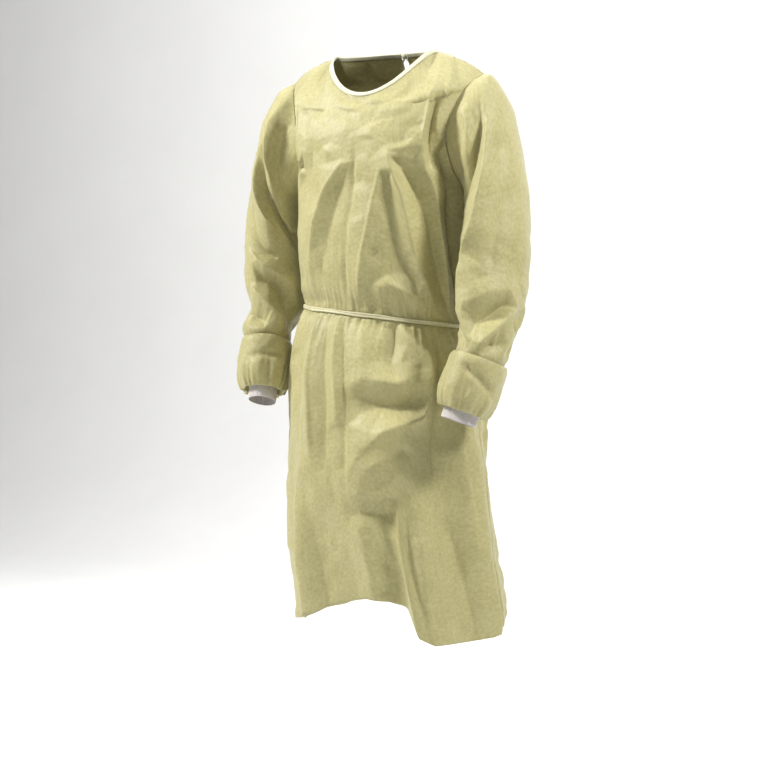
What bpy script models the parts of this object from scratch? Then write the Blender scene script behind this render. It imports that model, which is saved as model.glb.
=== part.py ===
"""A worn isolation gown: hollow cloth body, set-in sleeves, knit cuffs, neck binding and ties.

Metres, +Z up. The wearer would face -Y, with the left hand at +X. The origin is the middle of
the neck opening, level with the two points where the shoulder seams meet the neck edge.
Every cloth piece is a wall between two skins: its outer skin is a net of rings worked out from
the tables below, and its inner skin is the same net moved in by the cloth's thickness.
"""

import math
from collections import namedtuple

import bmesh
import bpy
import numpy as np
from mathutils import Vector
from mathutils.bvhtree import BVHTree

# Cloth and seams
CLOTH = 0.0012
SEAM_GAP = 0.0003
LAP_OFFSET = 0.0030
BINDING_WIDTH = 0.0070
BINDING_CLOTH = 0.0010
BINDING_EASE = 0.0013
BINDING_STEPS = 3
FEELER_LENGTH = 0.012
TIE_WIDTH = 0.0080
TIE_CLOTH = 0.0016

# Neck and shoulder seams
NECK_HALF_WIDTH = 0.105
NECK_FRONT_DEPTH = 0.093
NECK_BACK_DEPTH = 0.083
NECK_FRONT_DROP = 0.088
NECK_BACK_RISE = 0.012
NECK_DIP_POWER = 1.7
SHOULDER_TIP = np.array((0.208, 0.010, -0.055))
SHOULDER_SLOPE = math.radians(28)
SHOULDER_ARCH = 0.006
UNDERARM_Z = -0.275
SHOULDER_STATION = 0.045
WAIST_Z = -0.512
WAIST_TILT = 0.021
WAIST_TILT_REACH = 0.160
HEM_Z = -1.100

# Columns and rows of the nets
FRONT_COLUMNS = 28
BACK_COLUMNS = 16
NECK_COLUMNS = 6
ARMHOLE_ROWS = 11
COLUMN_ANGLE = math.radians(180 / FRONT_COLUMNS)
NECK_ANGLE = NECK_COLUMNS * COLUMN_ANGLE

Ring = namedtuple("Ring", "z half_width front_depth back_depth shift_x shift_y")
BODY_RINGS = (
    Ring(-1.100, 0.212, 0.185, 0.175, 0.014, 0.035),
    Ring(-0.950, 0.208, 0.180, 0.175, 0.004, 0.015),
    Ring(-0.800, 0.203, 0.172, 0.168, 0.000, 0.005),
    Ring(-0.680, 0.195, 0.163, 0.160, 0.000, 0.000),
    Ring(-0.590, 0.184, 0.147, 0.148, 0.000, 0.000),
    Ring(-0.545, 0.175, 0.134, 0.138, 0.000, 0.000),
    Ring(WAIST_Z, 0.166, 0.120, 0.124, 0.000, 0.000),
    Ring(-0.475, 0.171, 0.132, 0.130, 0.000, 0.000),
    Ring(-0.420, 0.172, 0.141, 0.134, 0.000, 0.000),
    Ring(-0.340, 0.171, 0.143, 0.134, 0.000, 0.000),
    Ring(UNDERARM_Z, 0.172, 0.140, 0.132, 0.000, 0.000),
)
ROW_STATIONS = (
    *(-1.100, -1.048, -0.994, -0.940, -0.885, -0.830, -0.776, -0.724, -0.674, -0.628),
    *(-0.586, -0.549, WAIST_Z - TIE_WIDTH / 2, WAIST_Z + TIE_WIDTH / 2),
    *(-0.478, -0.440, -0.396, -0.354, -0.314),
)

# Rings above the underarm, where each panel ends at the armhole instead of at the side seam.
Yoke = namedtuple(
    "Yoke", "station middle_y middle_z edge_x edge_y edge_z flatness"
)
FRONT_YOKE = (
    Yoke(-0.230, -0.139, -0.238, 0.166, -0.042, -0.236, 1.2),
    Yoke(-0.175, -0.135, -0.202, 0.162, -0.060, -0.190, 1.35),
    Yoke(-0.110, -0.127, -0.164, 0.168, -0.058, -0.140, 1.5),
    Yoke(-0.050, -0.115, -0.130, 0.182, -0.040, -0.098, 1.6),
    Yoke(0.000, -0.104, -0.107, 0.197, -0.014, -0.070, 1.5),
)
BACK_YOKE = (
    Yoke(-0.230, 0.136, -0.222, 0.168, 0.044, -0.236, 1.2),
    Yoke(-0.175, 0.137, -0.165, 0.165, 0.066, -0.190, 1.35),
    Yoke(-0.110, 0.133, -0.105, 0.170, 0.066, -0.140, 1.5),
    Yoke(-0.050, 0.121, -0.055, 0.184, 0.052, -0.098, 1.6),
    Yoke(0.000, 0.103, -0.018, 0.198, 0.032, -0.070, 1.5),
)

# The hem's height round the body, as angle in degrees from the front middle and metres above HEM_Z.
HemPoint = namedtuple("HemPoint", "angle rise")
HEM_LINE = (
    HemPoint(-180, 0.012),
    HemPoint(-130, 0.000),
    HemPoint(-90, -0.020),
    HemPoint(-50, -0.006),
    HemPoint(-15, 0.034),
    HemPoint(5, 0.049),
    HemPoint(18, 0.046),
    HemPoint(27, 0.036),
    HemPoint(34, -0.020),
    HemPoint(42, -0.034),
    HemPoint(80, -0.034),
    HemPoint(98, -0.024),
    HemPoint(122, 0.028),
    HemPoint(150, 0.030),
    HemPoint(180, 0.012),
)
HEM_REACH = 0.330

# The back opening: how far each back panel passes the middle of the back, in degrees. Beside the
# middle the laps stand off each other, over a band of LAP_BAND degrees that fades over LAP_FADE.
LAP_TOP_GAP = 1.6
LAP_ANGLE = 20.0
LAP_START = -0.080
LAP_FULL = -0.420
LAP_BAND = 24
LAP_FADE = 26
LAP_LIFT_START = -0.050
LAP_LIFT_REACH = 0.030

# Soft folds of the body: a ridge, or a trough where the height is negative, along a line from
# one angle and station to another. Those of the skirt run on past the hem, so they end there full.
Fold = namedtuple("Fold", "angle_1 station_1 angle_2 station_2 half_width height")
BODY_FOLDS = (
    Fold(0, -0.100, 0, -0.800, 0.009, 0.0030),
    Fold(50, 0.000, 50, -0.290, 0.011, 0.0090),
    Fold(60, -0.040, 67, -0.290, 0.013, -0.0120),
    Fold(24, -0.160, 60, -0.480, 0.024, 0.0120),
    Fold(36, -0.200, 76, -0.480, 0.024, -0.0100),
    Fold(40, -0.420, 50, -0.500, 0.018, -0.0080),
    Fold(-64, -0.020, -64, -0.240, 0.012, 0.0060),
    Fold(-30, -0.340, -58, -0.500, 0.020, -0.0060),
    Fold(23, -0.780, 28, -1.420, 0.024, -0.0240),
    Fold(36, -0.780, 41, -1.420, 0.020, 0.0160),
    Fold(54, -0.560, 66, -1.300, 0.030, -0.0120),
    Fold(78, -0.620, 88, -1.400, 0.034, 0.0140),
    Fold(4, -0.740, 52, -0.550, 0.026, -0.0110),
    Fold(-14, -0.560, -20, -0.800, 0.024, 0.0090),
    Fold(-16, -0.852, 24, -0.852, 0.028, 0.0070),
    Fold(-28, -0.860, 8, -1.200, 0.032, -0.0130),
    Fold(-34, -0.840, -38, -1.400, 0.024, 0.0110),
    Fold(-56, -0.580, -54, -1.360, 0.030, -0.0120),
    Fold(-80, -0.740, -76, -1.400, 0.030, 0.0090),
    Fold(112, -0.600, 116, -1.400, 0.034, -0.0120),
    Fold(140, -0.560, 146, -1.400, 0.034, 0.0120),
    Fold(-108, -0.580, -104, -1.400, 0.034, -0.0100),
    Fold(-136, -0.560, -140, -1.400, 0.034, 0.0120),
    Fold(128, -0.060, 112, -0.300, 0.022, 0.0080),
    Fold(-128, -0.060, -112, -0.300, 0.022, 0.0080),
    Fold(116, -0.300, 140, -0.480, 0.024, -0.0080),
    Fold(-116, -0.300, -140, -0.480, 0.024, -0.0080),
)
FOLD_RADIUS = 0.170

WAIST_GATHERS = FRONT_COLUMNS
GATHER_HEIGHT = 0.0042
GATHER_RISE = 0.028
GATHER_REACH = 0.050
FOLDS_START = 0.040

# Sleeve rings down to the elbow: the ends of each ring on its inner and outer side.
Arm = namedtuple("Arm", "inner_x inner_z outer_x outer_z middle_y half_depth pitch")
UPPER_ARM = (
    Arm(0.1800, -0.288, 0.230, -0.068, 0.006, 0.080, 0),
    Arm(0.1830, -0.300, 0.253, -0.100, 0.004, 0.084, 0),
    Arm(0.1835, -0.315, 0.273, -0.150, 0.001, 0.086, 0),
    Arm(0.1825, -0.335, 0.290, -0.215, -0.004, 0.087, 2),
    Arm(0.1805, -0.362, 0.299, -0.290, -0.010, 0.087, 4),
    Arm(0.1795, -0.395, 0.303, -0.360, -0.018, 0.087, 7),
)
# Rings along the forearm: distance up from the cuff's edge, and half sizes across and fore and aft.
Fore = namedtuple("Fore", "reach half_width half_depth wave")
FOREARM = (
    Fore(0.290, 0.0610, 0.0850, 0.0),
    Fore(0.250, 0.0590, 0.0790, 0.0),
    Fore(0.210, 0.0550, 0.0700, 0.0),
    Fore(0.170, 0.0510, 0.0610, 0.0),
    Fore(0.136, 0.0470, 0.0545, 0.0),
    Fore(0.104, 0.0445, 0.0510, 0.0),
    Fore(0.077, 0.0430, 0.0490, 0.0),
    Fore(0.071, 0.0442, 0.0502, 0.0),
    Fore(0.077, 0.0455, 0.0515, 0.0),
    Fore(0.100, 0.0470, 0.0530, 0.0),
    Fore(0.118, 0.0480, 0.0545, 0.0),
    Fore(0.123, 0.0505, 0.0570, 0.0),
    Fore(0.119, 0.0528, 0.0592, 0.0),
    Fore(0.096, 0.0555, 0.0610, 0.0),
    Fore(0.067, 0.0560, 0.0610, 0.0),
    Fore(0.041, 0.0530, 0.0575, 0.3),
    Fore(0.027, 0.0475, 0.0510, 0.8),
    Fore(0.019, 0.0425, 0.0455, 1.0),
    Fore(0.021, 0.0395, 0.0420, 1.0),
    Fore(0.029, 0.0380, 0.0380, 0.5),
)
LIP_REACH = 0.123
ELBOW_REACH = 0.310
WRIST_TURN_REACH = 0.080
PUFF_FADE = (0.190, 0.290)
RUFFLE_HEIGHT = 0.0014
CUFF_TOP = 0.041
CUFF_CLOTH = 0.0015
CUFF_SEAM = 0.0040
CUFF_EASE = 0.0015
CUFF_RIBS = 36
RIB_HEIGHT = 0.0007

# Folds of the sleeves, from one turn round the arm and distance down it to another. The turn is
# in degrees from the arm's inner side by its front and outer side.
SleeveFold = namedtuple("SleeveFold", "turn_1 down_1 turn_2 down_2 half_width height")
SLEEVE_FOLDS = (
    SleeveFold(60, 0.010, 112, 0.140, 0.014, -0.0090),
    SleeveFold(96, 0.000, 130, 0.200, 0.014, 0.0070),
    SleeveFold(300, 0.010, 250, 0.140, 0.014, -0.0080),
    SleeveFold(60, 0.180, 130, 0.330, 0.018, -0.0080),
    SleeveFold(30, 0.300, 120, 0.370, 0.016, -0.0090),
    SleeveFold(60, 0.400, 170, 0.340, 0.016, 0.0070),
    SleeveFold(70, 0.440, 200, 0.400, 0.014, -0.0080),
    SleeveFold(90, 0.470, 160, 0.430, 0.012, 0.0060),
    SleeveFold(230, 0.330, 300, 0.420, 0.018, -0.0080),
    SleeveFold(215, 0.120, 225, 0.330, 0.022, 0.0060),
)
SLEEVE_FOLD_RADIUS = 0.075
SLEEVE_FOLD_RINGS = 5
SHARPEST_BEND = 0.95

# The right elbow lies further back than the left one: each upper arm bends towards its elbow
# over ELBOW_BEND, the heights of the ring ends where the bend starts and is complete.
ELBOW_BEND = (-0.150, -0.400)
# What differs between the two arms.
Side = namedtuple(
    "Side", "name sign elbow lip wrist puff cuff_half_width cuff_half_depth elbow_shift"
)
SIDES = (
    Side(
        *("left", 1, (0.241, -0.028, -0.420), (0.249, -0.100, -0.597), (0.216, -0.125, -0.713)),
        *(1.00, 0.0345, 0.0270, -0.010),
    ),
    Side(
        *("right", -1, (0.241, 0.016, -0.415), (0.239, -0.050, -0.562), (0.2260, -0.090, -0.680)),
        *(0.92, 0.0250, 0.0315, 0.034),
    ),
)

# A tie: its knot as half its depth and height, how far the knot stands proud of the tied strip,
# and the two free ends below it. An end starts at the knot's underside, at start_x and start_out
# from its middle, and lies on the back panels from one angle and station down to end_angle.
Tie = namedtuple(
    "Tie",
    "name half_depth half_height proud start_x start_out panels angle end_angle station length",
)
WAIST_TIE = Tie(
    *("waist", 0.0055, 0.0075, 0.0022, 0.0029, 0.0000, ("left", "left")),
    *(1.4, 5.2, WAIST_Z - 0.016, 0.300),
)
NECK_TIE = Tie(
    *("neck", 0.0060, 0.0065, 0.0035, 0.0027, 0.0030, ("left", "right")),
    *(3.0, 7.5, 0.018, 0.130),
)
KNOT_ROUNDING = 0.45
KNOT_HALF_ANGLE = 3.2
TIE_RISE = 0.0055
TIE_END_STEPS = 13
TIE_END_EASE = 0.0031
TIE_END_PINCH = 0.60
TIE_END_SPREAD = 0.15

COLOURS = {
    "gown": ((0.57, 0.53, 0.28, 1.0), 0.62),
    "knit": ((0.80, 0.78, 0.74, 1.0), 0.85),
    "binding": ((0.82, 0.82, 0.72, 1.0), 0.70),
}


def clear_scene():
    for thing in list(bpy.data.objects):
        bpy.data.objects.remove(thing, do_unlink=True)


def make_material(name):
    colour, roughness = COLOURS[name]
    material = bpy.data.materials.new(name)
    material.use_nodes = True
    shader = material.node_tree.nodes["Principled BSDF"]
    shader.inputs["Base Color"].default_value = colour
    shader.inputs["Roughness"].default_value = roughness
    shader.inputs["Metallic"].default_value = 0.0
    return material


def unit(vectors):
    return vectors / np.linalg.norm(vectors, axis=-1, keepdims=True)


def smooth(value):
    value = np.clip(value, 0.0, 1.0)
    return value * value * (3 - 2 * value)


def blend_rings(stations, rings, wanted, split, kept):
    """Points of a smooth curve through the rings, for each wanted station, one ring to a row.

    At the ring numbered split, the share kept of each column takes its slope from below alone.
    """
    stations = np.asarray(stations, float)
    rings = np.asarray(rings, float)
    slopes = np.gradient(rings, stations, axis=0)
    from_below = (rings[split] - rings[split - 1]) / (stations[split] - stations[split - 1])
    slopes[split] += (from_below - slopes[split]) * kept[:, None]
    rows = []
    for place in wanted:
        low = min(max(np.searchsorted(stations, place) - 1, 0), len(stations) - 2)
        span = stations[low + 1] - stations[low]
        part = (place - stations[low]) / span
        rise = 3 * part**2 - 2 * part**3
        rows.append(
            rings[low] * (1 - rise)
            + rings[low + 1] * rise
            + slopes[low] * span * (part**3 - 2 * part**2 + part)
            + slopes[low + 1] * span * (part**3 - part**2)
        )
    return np.array(rows)


def body_ring(ring, angle):
    depth = np.where(np.cos(angle) > 0, ring.front_depth, ring.back_depth)
    return np.stack(
        (
            ring.shift_x + ring.half_width * np.sin(angle),
            ring.shift_y - depth * np.cos(angle),
            np.full_like(angle, ring.z),
        ),
        axis=-1,
    )


def yoke_ring(yoke, angle):
    """A ring above the underarm. Its ends at the armhole are at angle 90 degrees either side."""
    from_middle = np.abs(np.cos(angle)) ** yoke.flatness
    across = np.sin(angle)
    return np.stack(
        (
            yoke.edge_x * across,
            yoke.edge_y + (yoke.middle_y - yoke.edge_y) * from_middle,
            yoke.middle_z + (yoke.edge_z - yoke.middle_z) * across**2,
        ),
        axis=-1,
    )


def top_ring(angle, front):
    """The top edge of a panel: the neck edge in the middle and a shoulder seam at each side."""
    side = np.sign(np.sin(angle))
    from_middle = np.where(front, np.abs(angle), math.pi - np.abs(angle))
    round_neck = np.clip(from_middle / NECK_ANGLE, 0, 1) * math.pi / 2
    along_seam = np.clip((from_middle - NECK_ANGLE) / (math.pi / 2 - NECK_ANGLE), 0, 1)
    depth = -NECK_FRONT_DEPTH if front else NECK_BACK_DEPTH
    height = -NECK_FRONT_DROP if front else NECK_BACK_RISE
    neck = np.stack(
        (
            NECK_HALF_WIDTH * np.sin(round_neck),
            depth * np.cos(round_neck),
            height * np.cos(round_neck) ** NECK_DIP_POWER,
        ),
        axis=-1,
    )
    ring = neck + along_seam[..., None] * (SHOULDER_TIP - (NECK_HALF_WIDTH, 0, 0))
    ring[..., 2] += SHOULDER_ARCH * np.sin(along_seam * math.pi)
    ring[..., 0] *= side
    return ring


def hem_rise(angle):
    table_angles = np.radians([point.angle for point in HEM_LINE])
    table_rises = [point.rise for point in HEM_LINE]
    turned = (angle + math.pi) % (2 * math.pi) - math.pi
    return np.interp(turned, table_angles, table_rises)


def fold_height(across, down, folds):
    """How far the folds lift the cloth at places on it, all measured along the cloth in metres."""
    lift = np.zeros_like(down)
    for start, end, half_width, height in folds:
        along = np.subtract(end, start)
        place = np.stack((across - start[0], down - start[1]), axis=-1)
        part = np.clip(place @ along / (along @ along), 0, 1)
        away = np.linalg.norm(place - part[..., None] * along, axis=-1)
        taper = np.sqrt(np.sin(np.clip(part, 0.04, 0.96) * math.pi))
        lift += height * taper * np.exp(-((away / half_width) ** 2))
    return lift


def waist_gathers(angle, z):
    above_tie = np.abs(z - WAIST_Z) - TIE_WIDTH / 2
    fade = smooth((GATHER_REACH * 2 - above_tie) / GATHER_REACH)
    return GATHER_HEIGHT * np.cos(angle * WAIST_GATHERS) * smooth(above_tie / GATHER_RISE) * fade


def body_net(angles, stations, front):
    """The outer skin of a body panel: one row of points for each station, bottom to top."""
    yokes = FRONT_YOKE if front else BACK_YOKE
    rings = [body_ring(ring, angles) for ring in BODY_RINGS]
    rings += [yoke_ring(yoke, angles) for yoke in yokes]
    rings.append(top_ring(angles, front))
    places = [ring.z for ring in BODY_RINGS] + [yoke.station for yoke in yokes] + [SHOULDER_STATION]
    at_side = np.abs(np.sin(angles)) ** 12
    net = blend_rings(places, rings, stations, len(BODY_RINGS) - 1, at_side)
    level = np.asarray(stations)[:, None] + 0 * angles
    spread = angles + 0 * level
    net[..., 2] += hem_rise(spread) * smooth((HEM_Z + HEM_REACH - level) / HEM_REACH)
    from_waist = (level - WAIST_Z) / WAIST_TILT_REACH
    net[..., 2] -= WAIST_TILT * np.sin(spread) * np.exp(-(from_waist**2))
    return net


def net_normals(net, closed=False):
    """Outward directions of a net whose columns run anticlockwise seen from above, rows upward."""
    if closed:
        wrapped = np.concatenate((net[:, -1:], net, net[:, :1]), axis=1)
        across = (wrapped[:, 2:] - wrapped[:, :-2])
    else:
        across = np.gradient(net, axis=1)
    upward = np.gradient(net, axis=0)
    return unit(np.cross(across, upward))


def lap_edge(stations):
    """The angle past the middle of the back that each back panel reaches, for each station."""
    level = np.asarray(stations)
    reach = smooth((LAP_START - level) / (LAP_START - LAP_FULL))
    return np.radians(-LAP_TOP_GAP + (LAP_ANGLE + LAP_TOP_GAP) * reach)


def lap_lift(angles, stations, outer):
    """The outer lap stands off the body's form and the inner one lies inside it."""
    level = np.asarray(stations)[:, None]
    from_middle = np.abs(180 - np.degrees(np.abs(angles)))
    near_middle = 1 - smooth((from_middle - LAP_BAND) / LAP_FADE)
    away_from_neck = smooth((LAP_LIFT_START - level) / LAP_LIFT_REACH)
    lift = LAP_OFFSET if outer else -LAP_OFFSET / 2
    return lift * near_middle * away_from_neck


def wall(name, outer, inner, material, closed=False):
    """A closed wall between two nets, as one object."""
    mesh = bmesh.new()
    rows, columns = outer.shape[:2]
    skins = [[[mesh.verts.new(point) for point in row] for row in net] for net in (outer, inner)]
    spans = columns if closed else columns - 1
    for row in range(rows - 1):
        for column in range(spans):
            after = (column + 1) % columns
            for skin, turn in zip(skins, (1, -1)):
                corners = (
                    skin[row][column],
                    skin[row][after],
                    skin[row + 1][after],
                    skin[row + 1][column],
                )
                mesh.faces.new(corners[::turn])
    out, inside = skins
    for column in range(spans):
        after = (column + 1) % columns
        mesh.faces.new((inside[0][column], inside[0][after], out[0][after], out[0][column]))
        mesh.faces.new((out[-1][column], out[-1][after], inside[-1][after], inside[-1][column]))
    if not closed:
        for row in range(rows - 1):
            for side in (0, -1):
                corner = (out[row][side], inside[row + 1][side])
                for other in (out[row + 1][side], inside[row][side]):
                    mesh.faces.new((corner[0], other, corner[1]))
    return finish(name, mesh, material)


def finish(name, mesh, material):
    bmesh.ops.recalc_face_normals(mesh, faces=mesh.faces[:])
    bmesh.ops.triangulate(mesh, faces=mesh.faces[:])
    data = bpy.data.meshes.new(name)
    mesh.to_mesh(data)
    mesh.free()
    data.shade_smooth()
    data.set_sharp_from_angle(angle=math.radians(50))
    piece = bpy.data.objects.new(name, data)
    bpy.context.scene.collection.objects.link(piece)
    piece.data.materials.append(material)
    return piece


def pull_back(net, rows=(), columns=()):
    """Moves the named edge rows and columns of a net in along the cloth by half a seam gap."""
    net = net.copy()
    for row, inward in rows:
        net[row] += unit(net[row + inward] - net[row]) * SEAM_GAP / 2
    for column, inward in columns:
        net[:, column] += unit(net[:, column + inward] - net[:, column]) * SEAM_GAP / 2
    return net


def all_stations():
    yoke = np.linspace(UNDERARM_Z, SHOULDER_STATION, ARMHOLE_ROWS + 1)
    return np.concatenate((ROW_STATIONS, yoke))


def body_lift(angles, stations):
    level = np.asarray(stations)[:, None] + 0 * angles
    turned = (angles + math.pi) % (2 * math.pi) - math.pi
    folds = [
        (
            (math.radians(fold.angle_1) * FOLD_RADIUS, fold.station_1),
            (math.radians(fold.angle_2) * FOLD_RADIUS, fold.station_2),
            fold.half_width,
            fold.height,
        )
        for fold in BODY_FOLDS
    ]
    lift = fold_height(turned * FOLD_RADIUS, level, folds)
    flat_under_tie = smooth((np.abs(level - WAIST_Z) - TIE_WIDTH) / FOLDS_START)
    return lift * flat_under_tie + waist_gathers(angles, level)


def sleeve_lift(rings):
    middles = rings.mean(axis=1)
    steps = np.linalg.norm(np.diff(middles, axis=0), axis=-1)
    down = np.concatenate(((0,), np.cumsum(steps)))
    turn = np.linspace(0, 2 * math.pi, rings.shape[1], endpoint=False)
    folds = [
        (
            (math.radians(fold.turn_1) * SLEEVE_FOLD_RADIUS, fold.down_1),
            (math.radians(fold.turn_2) * SLEEVE_FOLD_RADIUS, fold.down_2),
            fold.half_width,
            fold.height,
        )
        for fold in SLEEVE_FOLDS
    ]
    spread = (turn * SLEEVE_FOLD_RADIUS)[None] + 0 * down[:, None]
    lift = fold_height(spread, down[:, None] + 0 * spread, folds)
    last = len(UPPER_ARM) + SLEEVE_FOLD_RINGS
    lift[last:] = 0
    lift[0] = 0
    return lift


def make_body():
    """The nets of the three body panels, each as outer points and outward directions."""
    stations = all_stations()
    front_angles = np.linspace(-math.pi / 2, math.pi / 2, FRONT_COLUMNS + 1)
    front_angles = np.broadcast_to(front_angles, (len(stations), FRONT_COLUMNS + 1))
    reach = lap_edge(stations)
    nets = {}
    spans = {"front_panel": (front_angles, True, None)}
    half_turn = math.pi / 2
    share = np.linspace(0, 1, BACK_COLUMNS + 1)
    left = half_turn + (half_turn + reach)[:, None] * share
    spans["back_panel_left"] = (left, False, True)
    spans["back_panel_right"] = (-left[:, ::-1], False, False)
    for name, (angles, front, outer) in spans.items():
        net = np.empty((*angles.shape, 3))
        for row, station in enumerate(stations):
            net[row] = body_net(angles[row], [station], front)[0]
        nets[name] = [net, net_normals(net), angles]
    share_seams(nets)
    for name, (_, _, outer) in spans.items():
        net, normals, angles = nets[name]
        lift = body_lift(angles, stations)
        if outer is not None:
            lift = lift + lap_lift(angles, stations, outer)
        net = net + normals * lift[..., None]
        nets[name] = [net, net_normals(net), angles]
    share_seams(nets)
    return nets


def share_seams(nets):
    """Gives two panels the same outward direction where they meet, at the side and shoulder seams."""
    front = nets["front_panel"][1]
    left = nets["back_panel_left"][1]
    right = nets["back_panel_right"][1]
    side_rows = len(ROW_STATIONS) + 1
    for front_column, back, back_column in ((-1, left, 0), (0, right, -1)):
        mean = unit(front[:side_rows, front_column] + back[:side_rows, back_column])
        front[:side_rows, front_column] = mean
        back[:side_rows, back_column] = mean
    for name, (_, normals, angles) in nets.items():
        from_middle = np.abs(angles[-1])
        if name != "front_panel":
            from_middle = math.pi - from_middle
        seam = from_middle > NECK_ANGLE - 0.01
        direction = np.stack((np.sign(angles[-1]), 0 * angles[-1], 0 * angles[-1]), axis=-1)
        direction = direction * math.sin(SHOULDER_SLOPE) + (0, 0, math.cos(SHOULDER_SLOPE))
        normals[-1, seam] = direction[seam]


def make_panels(nets, material):
    panels = []
    for name, (net, normals, _) in nets.items():
        edges = {
            "front_panel": ((0, 1), (-1, -1)),
            "back_panel_left": ((0, 1),),
            "back_panel_right": ((-1, -1),),
        }[name]
        outer = pull_back(net, rows=((-1, -1),), columns=edges)
        panels.append(wall(name, outer, outer - normals * CLOTH, material))
    return panels


def armhole_loop(nets, side):
    """The armhole's edge with its outward directions: up the front, over the shoulder, down the back."""
    first = len(ROW_STATIONS)
    front_column, back, back_column = (
        (-1, "back_panel_left", 0) if side.sign > 0 else (0, "back_panel_right", -1)
    )
    loop = []
    directions = []
    for source, column, backwards in (
        ("front_panel", front_column, False),
        (back, back_column, True),
    ):
        points = nets[source][0][first:, column]
        normals = nets[source][1][first:, column]
        if backwards:
            points = points[::-1]
            normals = normals[::-1]
        loop.append(points[:-1])
        directions.append(normals[:-1])
    return np.concatenate(loop), np.concatenate(directions)


def ellipse(centre, across, forward, half_width, half_depth):
    """A sleeve ring that starts at its inner side and runs by the front, the outer side and the back."""
    turn = np.linspace(0, 2 * math.pi, 2 * ARMHOLE_ROWS, endpoint=False)[:, None]
    return centre - half_width * np.cos(turn) * across + half_depth * np.sin(turn) * forward


def upper_arm_ring(arm, side):
    inner = np.array((arm.inner_x, arm.middle_y, arm.inner_z))
    outer = np.array((arm.outer_x, arm.middle_y, arm.outer_z))
    bent = smooth((ELBOW_BEND[0] - arm.outer_z) / (ELBOW_BEND[0] - ELBOW_BEND[1]))
    inner[1] += side.elbow_shift * bent
    outer[1] = inner[1]
    pitch = math.radians(arm.pitch)
    forward = np.array((0, -math.cos(pitch), math.sin(pitch)))
    centre = (inner + outer) / 2
    return ellipse(
        centre, unit(outer - inner), forward, np.linalg.norm(outer - inner) / 2, arm.half_depth
    )


def forearm_frame(side, reach):
    """The middle of a forearm ring, with its directions across the arm and forward."""
    wrist = np.array(side.wrist)
    low = unit(np.array(side.lip) - wrist)
    bend = wrist + low * LIP_REACH
    above = np.array(side.elbow) - bend
    turned = smooth((reach - LIP_REACH) / WRIST_TURN_REACH)
    upward = unit(low * (1 - turned) + unit(above) * turned)
    past = max(reach - LIP_REACH, 0) / (ELBOW_REACH - LIP_REACH)
    middle = wrist + low * min(reach, LIP_REACH) + above * past
    forward = np.array((0.0, -1.0, 0.0))
    forward = unit(forward - forward @ upward * upward)
    return middle, np.cross(upward, forward), forward


def forearm_ring(fore, side):
    middle, across, forward = forearm_frame(side, fore.reach)
    near_wrist = smooth((PUFF_FADE[1] - fore.reach) / (PUFF_FADE[1] - PUFF_FADE[0]))
    puff = 1 + (side.puff - 1) * near_wrist
    ring = ellipse(middle, across, forward, fore.half_width * puff, fore.half_depth * puff)
    waves = np.cos(np.arange(len(ring)) * math.pi)[:, None] * RUFFLE_HEIGHT * fore.wave
    return ring + unit(ring - ring.mean(axis=0)) * waves


def seam_ring(side):
    """The last ring of a sleeve, which meets the top edge of the knit cuff."""
    middle, across, forward = forearm_frame(side, CUFF_TOP - CUFF_SEAM)
    half_width = side.cuff_half_width + CUFF_EASE
    return ellipse(middle, across, forward, half_width, side.cuff_half_depth + CUFF_EASE)


def make_sleeve(nets, side, material):
    loop, panel_normals = armhole_loop(nets, side)
    mirror = np.array((side.sign, 1, 1))
    rings = [upper_arm_ring(arm, side) for arm in UPPER_ARM]
    rings += [forearm_ring(fore, side) for fore in FOREARM]
    rings.append(seam_ring(side))
    rings = np.array(rings) * mirror
    away = unit(rings[0] - loop)
    bend = -np.sum(away * panel_normals, axis=-1)
    mitre = CLOTH * np.tan(np.arcsin(np.clip(bend, 0, SHARPEST_BEND)) / 2)
    start = loop + away * (2 * SEAM_GAP + 2 * mitre)[:, None]
    net = np.concatenate((start[None], rings))
    outward = unit(net - net.mean(axis=1, keepdims=True))
    net = net + outward * sleeve_lift(net)[..., None]
    if side.sign > 0:
        net = net[::-1]
    else:
        net = net[::-1, ::-1]
    normals = net_normals(net, closed=True)
    wall(f"sleeve_{side.name}", net, net - normals * CLOTH, material, closed=True)


def make_cuff(side, material):
    mirror = np.array((side.sign, 1, 1))
    turn = np.linspace(0, 2 * math.pi, 2 * CUFF_RIBS, endpoint=False)[:, None]
    if side.sign > 0:
        turn = turn[::-1]
    ribs = np.cos(np.arange(2 * CUFF_RIBS) * math.pi)[:, None] * RIB_HEIGHT / 2
    outer = []
    inner = []
    for reach in (0.0, CUFF_TOP):
        middle, across, forward = forearm_frame(side, reach)
        radial = -np.cos(turn) * across * side.cuff_half_width
        radial = radial + np.sin(turn) * forward * side.cuff_half_depth
        outer.append((middle + radial + unit(radial) * ribs) * mirror)
        inner.append((middle + radial - unit(radial) * CUFF_CLOTH) * mirror)
    wall(f"knit_cuff_{side.name}", np.array(outer), np.array(inner), material, closed=True)


def swept(name, profiles, material):
    """A closed solid through a row of equal profiles, each a loop of points."""
    mesh = bmesh.new()
    loops = [[mesh.verts.new(point) for point in profile] for profile in profiles]
    count = len(loops[0])
    for low, high in zip(loops[:-1], loops[1:]):
        for place in range(count):
            after = (place + 1) % count
            mesh.faces.new((low[place], low[after], high[after], high[place]))
    mesh.faces.new(loops[0][::-1])
    mesh.faces.new(loops[-1])
    return finish(name, mesh, material)


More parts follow.
